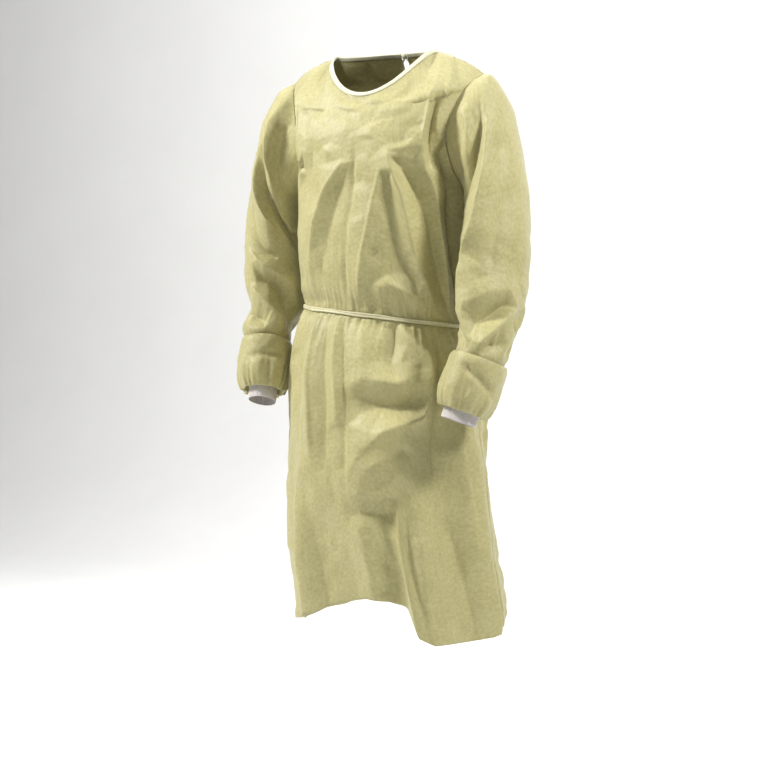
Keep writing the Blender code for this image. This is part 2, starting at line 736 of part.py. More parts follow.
def knot(name, centre, half_sizes, material):
    """A rounded block that stands for a tied knot."""
    mesh = bmesh.new()
    bmesh.ops.create_cube(mesh, size=2)
    bmesh.ops.scale(mesh, vec=half_sizes, verts=mesh.verts[:])
    bmesh.ops.bevel(
        mesh,
        geom=mesh.edges[:],
        offset=min(half_sizes) * KNOT_ROUNDING,
        segments=2,
        profile=0.5,
        affect="EDGES",
        clamp_overlap=True,
    )
    bmesh.ops.translate(mesh, vec=centre, verts=mesh.verts[:])
    return finish(name, mesh, material)


def neck_route(nets):
    """Stops along the neck edge, left nape to right nape: the edge point, its outward direction
    and the facets beside it. The last point of one panel is also the first of the next."""
    stops = []
    for name in ("back_panel_left", "front_panel", "back_panel_right"):
        net, normals, angles = nets[name]
        upward = net[-1] - net[-2]
        facets = unit(np.cross(np.diff(net[-1], axis=0), upward[:-1] + upward[1:]))
        from_middle = np.abs(angles[-1])
        if name != "front_panel":
            from_middle = math.pi - from_middle
        places = [place for place, turn in enumerate(from_middle) if turn < NECK_ANGLE + 0.01]
        for place in reversed(places):
            beside = facets[max(place - 1, 0) : place + 1]
            if stops and np.linalg.norm(stops[-1][0] - net[-1, place]) < SEAM_GAP:
                edge, out, others = stops.pop()
                stops.append((edge, out, np.concatenate((others, beside))))
            else:
                stops.append((net[-1, place], normals[-1, place], beside))
            if place == places[0]:
                continue
            for part in np.arange(1, BINDING_STEPS) / BINDING_STEPS:
                between = net[-1, place] * (1 - part) + net[-1, place - 1] * part
                out = unit(normals[-1, place] * (1 - part) + normals[-1, place - 1] * part)
                stops.append((between, out, facets[place - 1 : place]))
    return stops


def skins_tree(pieces):
    """A search tree over the faces of several pieces."""
    points = []
    faces = []
    for piece in pieces:
        first = len(points)
        points += [vertex.co.copy() for vertex in piece.data.vertices]
        faces += [[first + corner for corner in face.vertices] for face in piece.data.polygons]
    return BVHTree.FromPolygons(points, faces)


def skin_heights(tree, place, out):
    """How high the outer and the inner skin stand at a place beside the cloth, along a direction."""
    heights = []
    for side in (1, -1):
        start = place + out * FEELER_LENGTH * side
        hit = tree.ray_cast(Vector(start), Vector(-out * side), 2 * FEELER_LENGTH)[0]
        heights.append(0.0 if hit is None else (np.array(hit) - place) @ out)
    return heights


def make_neck_binding(nets, panels, material):
    """A folded strip over the neck edge, with one leg outside the cloth and one inside it."""
    tree = skins_tree(panels)
    route = neck_route(nets)
    ahead = unit(np.gradient(np.array([stop[0] for stop in route]), axis=0))
    profiles = []
    for (edge, out, facets), along in zip(route, ahead):
        off = unit(np.cross(along, unit(facets.mean(axis=0))))
        lean = 1 / (facets @ out).min()
        ease = BINDING_EASE * lean
        outer = ease
        inner = -CLOTH - ease
        for part in (0.4, 0.7, 1.0):
            above, below = skin_heights(tree, edge - off * BINDING_WIDTH * part, out)
            outer = max(outer, (above + ease - ease * (1 - part)) / part)
            inner = min(inner, (below - ease + (CLOTH + ease) * (1 - part)) / part)
        top = 2 * SEAM_GAP
        over = top + BINDING_CLOTH
        low = -BINDING_WIDTH
        cloth = BINDING_CLOTH * lean
        shape = (
            *((low, outer), (low, outer + cloth), (over, ease + cloth)),
            *((over, -CLOTH - ease - cloth), (low, inner - cloth), (low, inner)),
            *((top, -CLOTH - ease), (top, ease)),
        )
        profiles.append([edge + off * rise + out * depth for rise, depth in shape])
    swept("neck_binding", profiles, material)
    return profiles


def on_net(net, normals, column, row):
    """A place on a panel between its points, with its outward direction."""
    low_column = min(int(column), net.shape[1] - 2)
    low_row = min(int(row), net.shape[0] - 2)
    across = column - low_column
    up = row - low_row
    place = 0
    out = 0
    for right, share in ((0, 1 - across), (1, across)):
        for high, part in ((0, 1 - up), (1, up)):
            place = place + net[low_row + high, low_column + right] * share * part
            out = out + normals[low_row + high, low_column + right] * share * part
    return place, unit(out)


def strip_profiles(route, width, thickness, shares):
    """Profiles of a flat strip along a route of places and outward directions.

    Each share gives the strip's width there as a part of its full width. Its top is cut level.
    """
    places = np.array([place for place, _ in route])
    ahead = unit(np.gradient(places, axis=0))
    ahead[0] = (0, 0, -1)
    profiles = []
    for (place, out), along, share in zip(route, ahead, shares):
        sideways = unit(np.cross(out, along))
        far = place + out * thickness
        half = sideways * width * share / 2
        profiles.append((place - half, place + half, far + half, far - half))
    return profiles


def make_waist_tie(nets, material):
    """The strip round the waist, from one side of its knot by the front to the other side."""
    low = ROW_STATIONS.index(WAIST_Z - TIE_WIDTH / 2)
    left, left_out, left_angles = nets["back_panel_left"]
    right, right_out, right_angles = nets["back_panel_right"]
    front, front_out, _ = nets["front_panel"]
    knot_gap = math.radians(KNOT_HALF_ANGLE)
    columns = np.arange(BACK_COLUMNS + 1)
    lap = left_angles[low, -1]
    starts = left_angles[low] < math.pi - 1.5 * knot_gap
    ends = left_angles[low] > math.pi + 1.5 * knot_gap
    under_lap = right_angles[low] > lap - 2 * math.pi + knot_gap
    knot_columns = np.interp((math.pi - knot_gap, math.pi + knot_gap), left_angles[low], columns)
    stops = [(left, left_out, knot_columns[0])]
    stops += [(left, left_out, column) for column in columns[starts][::-1]]
    stops += [(front, front_out, column) for column in range(FRONT_COLUMNS - 1, 0, -1)]
    stops += [(right, right_out, column) for column in columns[under_lap][::-1]]
    stops += [(left, left_out, column) for column in columns[ends][::-1]]
    stops.append((left, left_out, knot_columns[1]))
    profiles = []
    for place, (net, out, column) in enumerate(stops):
        rise = TIE_RISE if place in (0, len(stops) - 1) else 0
        profile = []
        for row, depth in ((0, 0), (1, 0), (1, 1), (0, 1)):
            point, direction = on_net(net, out, column, low + row)
            profile.append(point + direction * (SEAM_GAP + rise + depth * TIE_CLOTH))
        profiles.append(profile)
    swept("waist_tie", profiles, material)
    return profiles


def back_place(nets, panel, angle, station):
    """A place on a back panel, with its outward direction."""
    net, normals, angles = nets[panel]
    stations = all_stations()
    row = np.interp(station, stations, np.arange(len(stations)))
    low = min(int(row), len(stations) - 2)
    line = angles[low] * (1 - row + low) + angles[low + 1] * (row - low)
    column = np.interp(angle, line, np.arange(len(line)))
    return on_net(net, normals, column, row)


def make_tie_end(nets, tie, side, sign, underside, width, material):
    """A free end of a tie, which hangs from the underside of its knot down the back."""
    panel = tie.panels[0 if side == "left" else 1]
    out = np.array((0.0, 1.0, 0.0))
    start = underside + (sign * tie.start_x, tie.start_out, -SEAM_GAP)
    route = [(start - out * TIE_CLOTH / 2, out)]
    parts = np.linspace(0, 1, TIE_END_STEPS)
    for part in parts:
        from_middle = tie.angle + (tie.end_angle - tie.angle) * part
        on_left = panel == "left"
        angle = 180 - sign * from_middle if on_left else -180 - sign * from_middle
        station = tie.station - tie.length * part
        place, direction = back_place(nets, f"back_panel_{panel}", math.radians(angle), station)
        route.append((place + direction * TIE_END_EASE, direction))
    spread = smooth(np.concatenate(((0,), parts + parts[1] / 2)) / TIE_END_SPREAD)
    shares = TIE_END_PINCH + (1 - TIE_END_PINCH) * spread
    profiles = strip_profiles(route, width, TIE_CLOTH, shares)
    swept(f"{tie.name}_tie_end_{side}", profiles, material)


def make_ties(nets, panels, gown, binding):
    waist = make_waist_tie(nets, gown)
    neck = make_neck_binding(nets, panels, binding)
    for tie, strip, width, material in (
        (WAIST_TIE, waist, TIE_WIDTH, gown),
        (NECK_TIE, neck, BINDING_WIDTH, binding),
    ):
        ends = np.array((np.mean(strip[0], axis=0), np.mean(strip[-1], axis=0)))
        reach = np.linalg.norm(ends[0] - ends[1]) / 2 - 3 * SEAM_GAP
        centre = ends.mean(axis=0) + (0, tie.proud, 0)
        knot(f"{tie.name}_knot", centre, (reach, tie.half_depth, tie.half_height), material)
        for side, sign in (("left", 1), ("right", -1)):
            underside = centre - (0, 0, tie.half_height)
            make_tie_end(nets, tie, side, sign, underside, width, material)


def main():
    clear_scene()
    gown = make_material("gown")
    knit = make_material("knit")
    binding = make_material("binding")
    nets = make_body()
    panels = make_panels(nets, gown)
    for side in SIDES:
        make_sleeve(nets, side, gown)
        make_cuff(side, knit)
    make_ties(nets, panels, gown, binding)


main()
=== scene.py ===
# The looks of a worn isolation gown. Metres, +Z up. The wearer faces -Y, with the left hand at +X.
import math

import bmesh
import bpy
import numpy as np
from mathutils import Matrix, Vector, geometry, noise
from mathutils.bvhtree import BVHTree


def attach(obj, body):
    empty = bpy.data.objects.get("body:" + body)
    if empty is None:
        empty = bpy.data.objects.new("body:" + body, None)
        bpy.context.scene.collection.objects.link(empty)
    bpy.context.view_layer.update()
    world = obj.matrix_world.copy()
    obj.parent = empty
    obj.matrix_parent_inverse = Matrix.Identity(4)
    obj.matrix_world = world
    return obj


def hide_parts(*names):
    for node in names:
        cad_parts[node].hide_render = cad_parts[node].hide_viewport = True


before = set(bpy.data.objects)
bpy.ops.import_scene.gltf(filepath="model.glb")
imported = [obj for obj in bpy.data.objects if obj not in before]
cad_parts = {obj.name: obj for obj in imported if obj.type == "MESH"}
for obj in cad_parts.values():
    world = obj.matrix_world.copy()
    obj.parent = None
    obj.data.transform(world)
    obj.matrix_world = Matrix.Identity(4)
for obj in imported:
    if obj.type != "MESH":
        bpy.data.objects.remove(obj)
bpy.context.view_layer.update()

# Camera: at the photo's angle, level with the thighs.
view = {
    # degrees round from the front, towards the gown's left side
    "turn": 27.0,
    "distance": 3.6,
    "aimHeight": -0.58,
    "lens": 86.06,
    "shiftX": -0.0013,
    "shiftY": -0.0443,
    "sensorWidth": 36,
    "clipEnd": 60,
}


def placeCamera():
    turn = math.radians(view["turn"])
    lens = bpy.data.cameras.new("photoCamera")
    camera = bpy.data.objects.new("photoCamera", lens)
    bpy.context.scene.collection.objects.link(camera)
    lens.sensor_width = view["sensorWidth"]
    lens.lens = view["lens"]
    lens.shift_x = view["shiftX"]
    lens.shift_y = view["shiftY"]
    lens.clip_end = view["clipEnd"]
    out = Vector((math.sin(turn), -math.cos(turn), 0))
    camera.location = out * view["distance"] + Vector((0, 0, view["aimHeight"]))
    camera.rotation_euler = (-out).to_track_quat("-Z", "Y").to_euler()
    bpy.context.scene.camera = camera


placeCamera()
print("camera placed")


# Small helpers.
def smooth(value):
    value = np.clip(value, 0.0, 1.0)
    return value * value * (3 - 2 * value)


def unit(vectors):
    size = np.linalg.norm(vectors, axis=-1, keepdims=True)
    return vectors / np.maximum(size, 1e-12)


def newPiece(name, made, material):
    # The object of a finished bmesh.
    mesh = bpy.data.meshes.new(name)
    made.to_mesh(mesh)
    made.free()
    mesh.materials.append(material)
    piece = bpy.data.objects.new(name, mesh)
    bpy.context.scene.collection.objects.link(piece)
    return piece


def netPiece(name, net, patch, material, closed=False, wall=0.0, offset=-1.0):
    # A grid whose points go to the net's places. patch gives each point's place on the flat cloth,
    # closed joins points that meet, and offset is the side of the net that the wall lies on.
    rows, columns = net.shape[:2]
    made = bmesh.new()
    bmesh.ops.create_grid(made, x_segments=columns - 1, y_segments=rows - 1, size=1.0)
    piece = newPiece(name, made, material)
    mesh = piece.data
    flat = np.empty(len(mesh.vertices) * 3, np.float32)
    mesh.vertices.foreach_get("co", flat)
    flat = flat.reshape(-1, 3)
    column = np.rint((flat[:, 0] + 1) / 2 * (columns - 1)).astype(int)
    row = np.rint((flat[:, 1] + 1) / 2 * (rows - 1)).astype(int)
    mesh.vertices.foreach_set("co", net[row, column].astype(np.float32).ravel())
    corner = np.empty(len(mesh.loops), np.int32)
    mesh.loops.foreach_get("vertex_index", corner)
    layer = mesh.uv_layers.new(name="cloth")
    layer.data.foreach_set("uv", patch[row, column][corner].astype(np.float32).ravel())
    if closed:
        made = bmesh.new()
        made.from_mesh(mesh)
        bmesh.ops.remove_doubles(made, verts=made.verts[:], dist=1e-6)
        made.to_mesh(mesh)
        made.free()
    mesh.shade_smooth()
    mesh.update()
    if wall:
        thicken = piece.modifiers.new("wall", "SOLIDIFY")
        thicken.thickness = wall
        thicken.offset = offset
    return piece


def lengths(net, axis):
    # How far each point lies along its row or column of the net.
    steps = np.linalg.norm(np.diff(net, axis=axis), axis=-1)
    total = np.cumsum(steps, axis=axis)
    first = np.zeros_like(np.take(total, [0], axis=axis))
    return np.concatenate((first, total), axis=axis)


def flatPatch(net, middleColumn=0):
    across = lengths(net, 1)
    across = across - across[:, middleColumn : middleColumn + 1]
    up = lengths(net, 0)
    return np.stack((across, up), axis=-1)


def netNormals(net):
    return unit(np.cross(np.gradient(net, axis=1), np.gradient(net, axis=0)))


def distances(line):
    # How far along its line each point lies.
    return np.concatenate(((0,), np.cumsum(np.linalg.norm(np.diff(line, axis=0), axis=1))))


def sampled(wanted, gone, values):
    # Points or directions along a line, at the wanted distances.
    return np.stack([np.interp(wanted, gone, values[:, axis]) for axis in range(3)], axis=-1)


def evenLine(place, out, steps):
    # The same line in even steps, without its doubled points.
    gone = distances(place)
    keep = np.concatenate(((True,), np.diff(gone) > 1e-5))
    place, out, gone = place[keep], out[keep], gone[keep]
    wanted = np.linspace(0, gone[-1], steps)
    return sampled(wanted, gone, place), sampled(wanted, gone, out), wanted


def softened(values, rounds, weight=2):
    # Each value is drawn towards its two neighbours, the less the greater the weight.
    for _ in range(rounds):
        values[1:-1] = (values[:-2] + weight * values[1:-1] + values[2:]) / (weight + 2)
    return values


# Folds.
def curved(points, parts=7):
    # A smooth line through the few points given.
    points = np.asarray(points, float)
    if len(points) < 3:
        return points
    ends = np.concatenate(([2 * points[0] - points[1]], points, [2 * points[-1] - points[-2]]))
    line = []
    for before, start, end, after in zip(ends[:-3], ends[1:-2], ends[2:-1], ends[3:]):
        for part in np.arange(parts) / parts:
            line.append(
                start
                + (end - before) / 2 * part
                + (before - 2.5 * start + 2 * end - after / 2) * part**2
                + (1.5 * (start - end) + (after - before) / 2) * part**3
            )
    line.append(points[-1])
    return np.array(line)


def foldLift(across, up, folds, radius):
    # A fold is (points along it as degrees and metres, width to its right, width to its left, height,
    # crest): flat flanks that meet in a rounded crest, lower at both ends. A trough has minus height.
    lift = np.zeros_like(up)
    for points, right, left, height, crest in folds:
        line = curved([(math.radians(turn) * radius, level) for turn, level in points])
        reach = 1.5 * max(right, left)
        low, high = line.min(axis=0) - reach, line.max(axis=0) + reach
        near = (across > low[0]) & (across < high[0]) & (up > low[1]) & (up < high[1])
        if not near.any():
            continue
        place = np.stack((across[near], up[near]), axis=-1)
        steps = np.diff(line, axis=0)
        size = np.linalg.norm(steps, axis=1)
        travelled = np.concatenate(((0,), np.cumsum(size)))
        best = np.full(len(place), np.inf)
        side = np.zeros(len(place))
        along = np.zeros(len(place))
        for start, step, span, gone in zip(line[:-1], steps, size, travelled):
            part = np.clip((place - start) @ step / span**2, 0, 1)
            away = place - start - part[:, None] * step
            far = np.linalg.norm(away, axis=1)
            closer = far < best
            best[closer] = far[closer]
            side[closer] = step[0] * away[closer, 1] - step[1] * away[closer, 0]
            along[closer] = (gone + part[closer] * span) / travelled[-1]
        width = np.where(side > 0, left, right)
        apart = best / width
        flank = 1 + crest - np.sqrt(apart**2 + crest**2)
        shape = (flank + np.sqrt(flank**2 + 0.014)) / 2 - 0.003
        ends = smooth(along / 0.28) * smooth((1 - along) / 0.28)
        lift[near] += height * shape * np.clip(ends + 0.04, 0, 1) * (apart < 1.5)
    return lift


def facets(points):
    # The sheet of triangles between points of (across, up, height), to drop rays on.
    places = [Vector(point[:2]) for point in points]
    flat, _, faces, source, _, _ = geometry.delaunay_2d_cdt(places, [], [], 0, 1e-6)
    raised = [(*place, points[first[0]][2]) for place, first in zip(flat, source)]
    return BVHTree.FromPolygons(raised, faces)


def dropped(tree, x, y):
    hit = tree.ray_cast(Vector((x, y, 0.5)), Vector((0, 0, -1)))[0]
    return hit.z if hit else 0.0


def creaseLift(across, up, creases, radius, crush, turns):
    # Stiff cloth breaks into flat facets between its creases. Each crease is a line of (degrees, metres,
    # height in millimetres), and the facets are the triangles between all the lines, with smaller
    # crushed ones among them.
    points = []
    for crease in creases:
        for turn, level, height in curved(crease, 4):
            height = height * crush["creaseScale"] / 1000
            points += [(math.radians(turn + 360 * full) * radius, level, height) for full in turns]
    low, high = up.min() - 0.05, up.max() + 0.05
    left, right = across.min() - 0.03, across.max() + 0.03
    for share in np.linspace(0, 1, 24):
        points += [(left + (right - left) * share, edge, 0.0) for edge in (low, high)]
        points += [(edge, low + (high - low) * share, 0.0) for edge in (left, right)]
    tree = facets(points)
    known = np.array(points)[:, :2]
    dice = np.random.default_rng(crush["seed"])
    step = crush["spacing"]
    for x in np.arange(across.min(), across.max(), step):
        for y in np.arange(up.min(), up.max(), step):
            place = np.array((x, y)) + dice.uniform(-0.42, 0.42, 2) * step
            tilt = dice.normal() * crush["height"]
            if np.linalg.norm(known - place, axis=1).min() > crush["clear"]:
                tilt += dropped(tree, *place)
                points += [(place[0] + 2 * math.pi * full * radius, place[1], tilt) for full in turns]
    tree = facets(points)
    soft = crush["rounding"]
    offsets = ((0, 0), (soft, 0), (-soft, 0), (0, soft), (0, -soft))
    places = zip(across.ravel(), up.ravel())
    lift = [sum(dropped(tree, x + aside, y + above) for aside, above in offsets) for x, y in places]
    return np.array(lift).reshape(up.shape) / len(offsets)


def edgeLift(across, up, creases, radius, edges):
    # The tall creases end in a narrow sharp edge, the deep ones in a narrow groove.
    folds = []
    for count, crease in enumerate(creases):
        heights = [point[2] for point in crease]
        line = tuple(point[:2] for point in crease)
        first, second = edges["widths"] if count % 2 else edges["widths"][::-1]
        if max(heights) >= edges["tall"]:
            folds.append((line, first, second, edges["ridge"], 0.15))
        elif min(heights) <= -edges["tall"]:
            folds.append((line, first, second, -edges["groove"], 0.15))
    return foldLift(across, up, folds, radius)


def streaks(across, up, width, length, seed):
    # Sharp small ridges, long along the cloth, that no two places share.
    values = [
        noise.noise(Vector((x, y, seed))) + 0.35 * noise.noise(Vector((2.3 * x, y, -seed)))
        for x, y in zip(across.ravel() / width, up.ravel() / length)
    ]
    return np.clip(0.75 - 3.4 * np.abs(np.array(values)), -0.55, 1).reshape(up.shape)


def crumple(net, size, height, seed):
    # Small uneven crushing of the sheet, in both directions.
    flat = net.reshape(-1, 3)
    shift = Vector((seed, 2.7 * seed, -seed))
    values = [noise.fractal(Vector(point) / size + shift, 0.9, 2.1, 4) for point in flat]
    return np.array(values).reshape(net.shape[:2]) * height


# Where the cloth settles away from the plain form: (place, reach, shift)
settling = (
    ((-0.185, 0, -0.05), (0.06, 0.09, 0.055), (0, 0, 0.016)),
    ((0.19, 0, -0.04), (0.055, 0.09, 0.05), (0, 0, 0.006)),
    ((-0.29, -0.03, -0.2), (0.06, 0.1, 0.085), (0.014, 0.008, 0)),
    ((0.3, 0.01, -0.19), (0.06, 0.1, 0.11), (-0.011, -0.004, 0)),
    ((-0.19, -0.08, -1.06), (0.08, 0.1, 0.12), (0.008, 0.004, 0)),
    ((0.18, 0.09, -1.05), (0.07, 0.08, 0.07), (0.008, 0.006, 0)),
    ((0.215, 0.085, -1.145), (0.045, 0.07, 0.05), (-0.005, 0, 0.026)),
)


def settled(net):
    moved = net.copy()
    for place, reach, shift in settling:
        near = np.exp(-(((net - place) / reach) ** 2).sum(axis=-1))
        moved += near[..., None] * np.array(shift)
    return moved


# Materials.
finishes = {
    "gownCloth": {
        "light": (0.460, 0.425, 0.212, 1),
        "deep": (0.350, 0.319, 0.136, 1),
        "bond": (0.385, 0.352, 0.160, 1),
        "bondPitch": 0.0016,
        "roughness": (0.46, 0.60),
    },
    # the waist tie's strip: paler because the cloth lies doubled there, and paler still with a painted
    # highlight near the tone of the cloth's lit sheen
    "doubledTieClothPaintedHighlight": {
        "light": (0.620, 0.592, 0.390, 1),
        "deep": (0.515, 0.484, 0.288, 1),
        "bond": (0.540, 0.505, 0.310, 1),
        "bondPitch": 0.0016,
        "roughness": (0.42, 0.56),
    },
    "ribKnit": {"light": (0.74, 0.70, 0.68, 1), "deep": (0.50, 0.465, 0.45, 1), "stitch": 0.0011},
    "tape": {"light": (0.62, 0.61, 0.47, 1), "deep": (0.52, 0.51, 0.37, 1)},
    "thread": {"colour": (0.80, 0.78, 0.62, 1)},
    "studio": {"colour": (0.90, 0.90, 0.89, 1)},
}


def newMaterial(name):
    material = bpy.data.materials.new(name)
    material.use_nodes = True
    return material, material.node_tree, material.node_tree.nodes["Principled BSDF"]


def setInputs(node, values):
    for name, value in values.items():
        node.inputs[name].default_value = value


def mathNode(tree, operation, first, second=None, third=None):
    node = tree.nodes.new("ShaderNodeMath")
    node.operation = operation
    for socket, value in zip(node.inputs, (first, second, third)):
        if value is None:
            continue
        if isinstance(value, (int, float)):
            socket.default_value = value
        else:
            tree.links.new(value, socket)
    return node.outputs[0]


def ramp(tree, source, low, high, first=(0, 0, 0, 1), last=(1, 1, 1, 1)):
    node = tree.nodes.new("ShaderNodeValToRGB")
    for stop, position, colour in zip(node.color_ramp.elements, (low, high), (first, last)):
        stop.position = position
        stop.color = colour
    tree.links.new(source, node.inputs[0])
    return node.outputs[0]


def clothPlace(tree, scale=(1, 1, 1), turn=0.0):
    uv = tree.nodes.new("ShaderNodeUVMap")
    uv.uv_map = "cloth"
    mapping = tree.nodes.new("ShaderNodeMapping")
    setInputs(mapping, {"Scale": scale, "Rotation": (0, 0, turn)})
    tree.links.new(uv.outputs[0], mapping.inputs[0])
    return mapping.outputs[0]


def cloudNoise(tree, place, scale, detail=5.0, roughness=0.6):
    node = tree.nodes.new("ShaderNodeTexNoise")
    setInputs(node, {"Scale": scale, "Detail": detail, "Roughness": roughness})
    tree.links.new(place, node.inputs["Vector"])
    return node.outputs[0]


def mixColour(tree, share, first, second):
    node = tree.nodes.new("ShaderNodeMix")
    node.data_type = "RGBA"
    for socket, value in ((node.inputs[0], share), (node.inputs[6], first), (node.inputs[7], second)):
        if isinstance(value, (int, float, tuple)):
            socket.default_value = value
        else:
            tree.links.new(value, socket)
    return node.outputs[2]


def bump(tree, height, distance, strength=1.0, before=None):
    node = tree.nodes.new("ShaderNodeBump")
    setInputs(node, {"Strength": strength, "Distance": distance})
    tree.links.new(height, node.inputs["Height"])
    if before is not None:
        tree.links.new(before, node.inputs["Normal"])
    return node.outputs[0]


def makeGownCloth(name):
    # Spunbonded sheet: uneven clouds of fibre, fine threads both ways and rows of bond points.
    look = finishes[name]
    material, tree, shader = newMaterial(name)
    place = clothPlace(tree)
    clouds = cloudNoise(tree, place, 150, 6, 0.65)
    patches = cloudNoise(tree, place, 22, 4, 0.55)
    threadsUp = cloudNoise(tree, clothPlace(tree, (900, 220, 1)), 1.0, 2)
    threadsAcross = cloudNoise(tree, clothPlace(tree, (200, 800, 1), 0.35), 1.0, 2)
    fibres = mathNode(tree, "ADD", threadsUp, threadsAcross)
    density = mathNode(tree, "MULTIPLY", clouds, 0.66)
    density = mathNode(tree, "MULTIPLY_ADD", patches, 0.22, density)
    density = mathNode(tree, "MULTIPLY_ADD", fibres, 0.06, density)
    colour = ramp(tree, density, 0.40, 0.62, look["deep"], look["light"])
    pitch = 1 / look["bondPitch"]
    cells = tree.nodes.new("ShaderNodeTexVoronoi")
    setInputs(cells, {"Scale": 1.0, "Randomness": 0.0})
    tree.links.new(clothPlace(tree, (pitch, pitch, 1), 0.785), cells.inputs["Vector"])
    bonds = ramp(tree, cells.outputs["Distance"], 0.20, 0.34, (1, 1, 1, 1), (0, 0, 0, 1))
    bondShare = mathNode(tree, "MULTIPLY", bonds, 0.32)
    tree.links.new(mixColour(tree, bondShare, colour, look["bond"]), shader.inputs["Base Color"])
    rough = tree.nodes.new("ShaderNodeMapRange")
    setInputs(rough, dict(zip(("To Min", "To Max"), look["roughness"])))
    tree.links.new(clouds, rough.inputs["Value"])
    tree.links.new(rough.outputs[0], shader.inputs["Roughness"])
    soft = bump(tree, clouds, 0.0009, 0.55)
    fine = bump(tree, fibres, 0.00006, 0.5, soft)
    dents = mathNode(tree, "SUBTRACT", 1.0, bonds)
    tree.links.new(bump(tree, dents, 0.00010, 0.5, fine), shader.inputs["Normal"])
    setInputs(shader, {"Specular IOR Level": 0.36, "Sheen Weight": 0.18, "Sheen Roughness": 0.45})
    return material


def makeRibKnit():
    look = finishes["ribKnit"]
    material, tree, shader = newMaterial("ribKnit")
    size = 1 / look["stitch"]
    rows = tree.nodes.new("ShaderNodeTexWave")
    rows.bands_direction = "Y"
    setInputs(rows, {"Scale": 0.32, "Distortion": 1.2, "Detail": 1.0})
    tree.links.new(clothPlace(tree, (size, size, 1)), rows.inputs["Vector"])
    yarn = cloudNoise(tree, clothPlace(tree, (900, 2600, 1)), 1.0, 3)
    clouds = cloudNoise(tree, clothPlace(tree), 160, 3)
    density = mathNode(tree, "MULTIPLY", rows.outputs[0], 0.45)
    density = mathNode(tree, "MULTIPLY_ADD", yarn, 0.35, density)
    density = mathNode(tree, "MULTIPLY_ADD", clouds, 0.20, density)
    colour = ramp(tree, density, 0.15, 0.60, look["deep"], look["light"])
    tree.links.new(colour, shader.inputs["Base Color"])
    setInputs(shader, {"Roughness": 0.86, "Sheen Weight": 0.30, "Sheen Roughness": 0.50})
    first = bump(tree, rows.outputs[0], 0.0004, 0.8)
    tree.links.new(bump(tree, yarn, 0.0002, 0.6, first), shader.inputs["Normal"])
    return material


def makeTape():
    look = finishes["tape"]
    material, tree, shader = newMaterial("tape")
    clouds = cloudNoise(tree, clothPlace(tree), 240, 5)
    threads = cloudNoise(tree, clothPlace(tree, (320, 2600, 1)), 1.0, 2)
    density = mathNode(tree, "MULTIPLY", threads, 0.4)
    density = mathNode(tree, "MULTIPLY_ADD", clouds, 0.6, density)
    colour = ramp(tree, density, 0.36, 0.62, look["deep"], look["light"])
    tree.links.new(colour, shader.inputs["Base Color"])
    setInputs(shader, {"Roughness": 0.66, "Sheen Weight": 0.20})
    first = bump(tree, threads, 0.00012, 0.7)
    tree.links.new(bump(tree, clouds, 0.0004, 0.5, first), shader.inputs["Normal"])
    return material


def makeThread():
    material, tree, shader = newMaterial("thread")
    coordinates = tree.nodes.new("ShaderNodeTexCoord")
    twist = cloudNoise(tree, coordinates.outputs["Object"], 2600, 2)
    base = finishes["thread"]["colour"]
    dark = tuple(value * 0.72 for value in base[:3]) + (1,)
    tree.links.new(ramp(tree, twist, 0.35, 0.6, dark, base), shader.inputs["Base Color"])
    setInputs(shader, {"Roughness": 0.55})
    tree.links.new(bump(tree, twist, 0.0001, 0.6), shader.inputs["Normal"])
    return material


gownCloth = makeGownCloth("gownCloth")
# a paler copy of the gown cloth for the waist tie: doubled cloth plus a painted highlight
doubledTieClothPaintedHighlight = makeGownCloth("doubledTieClothPaintedHighlight")
ribKnit = makeRibKnit()
tape = makeTape()
thread = makeThread()
print("materials made")


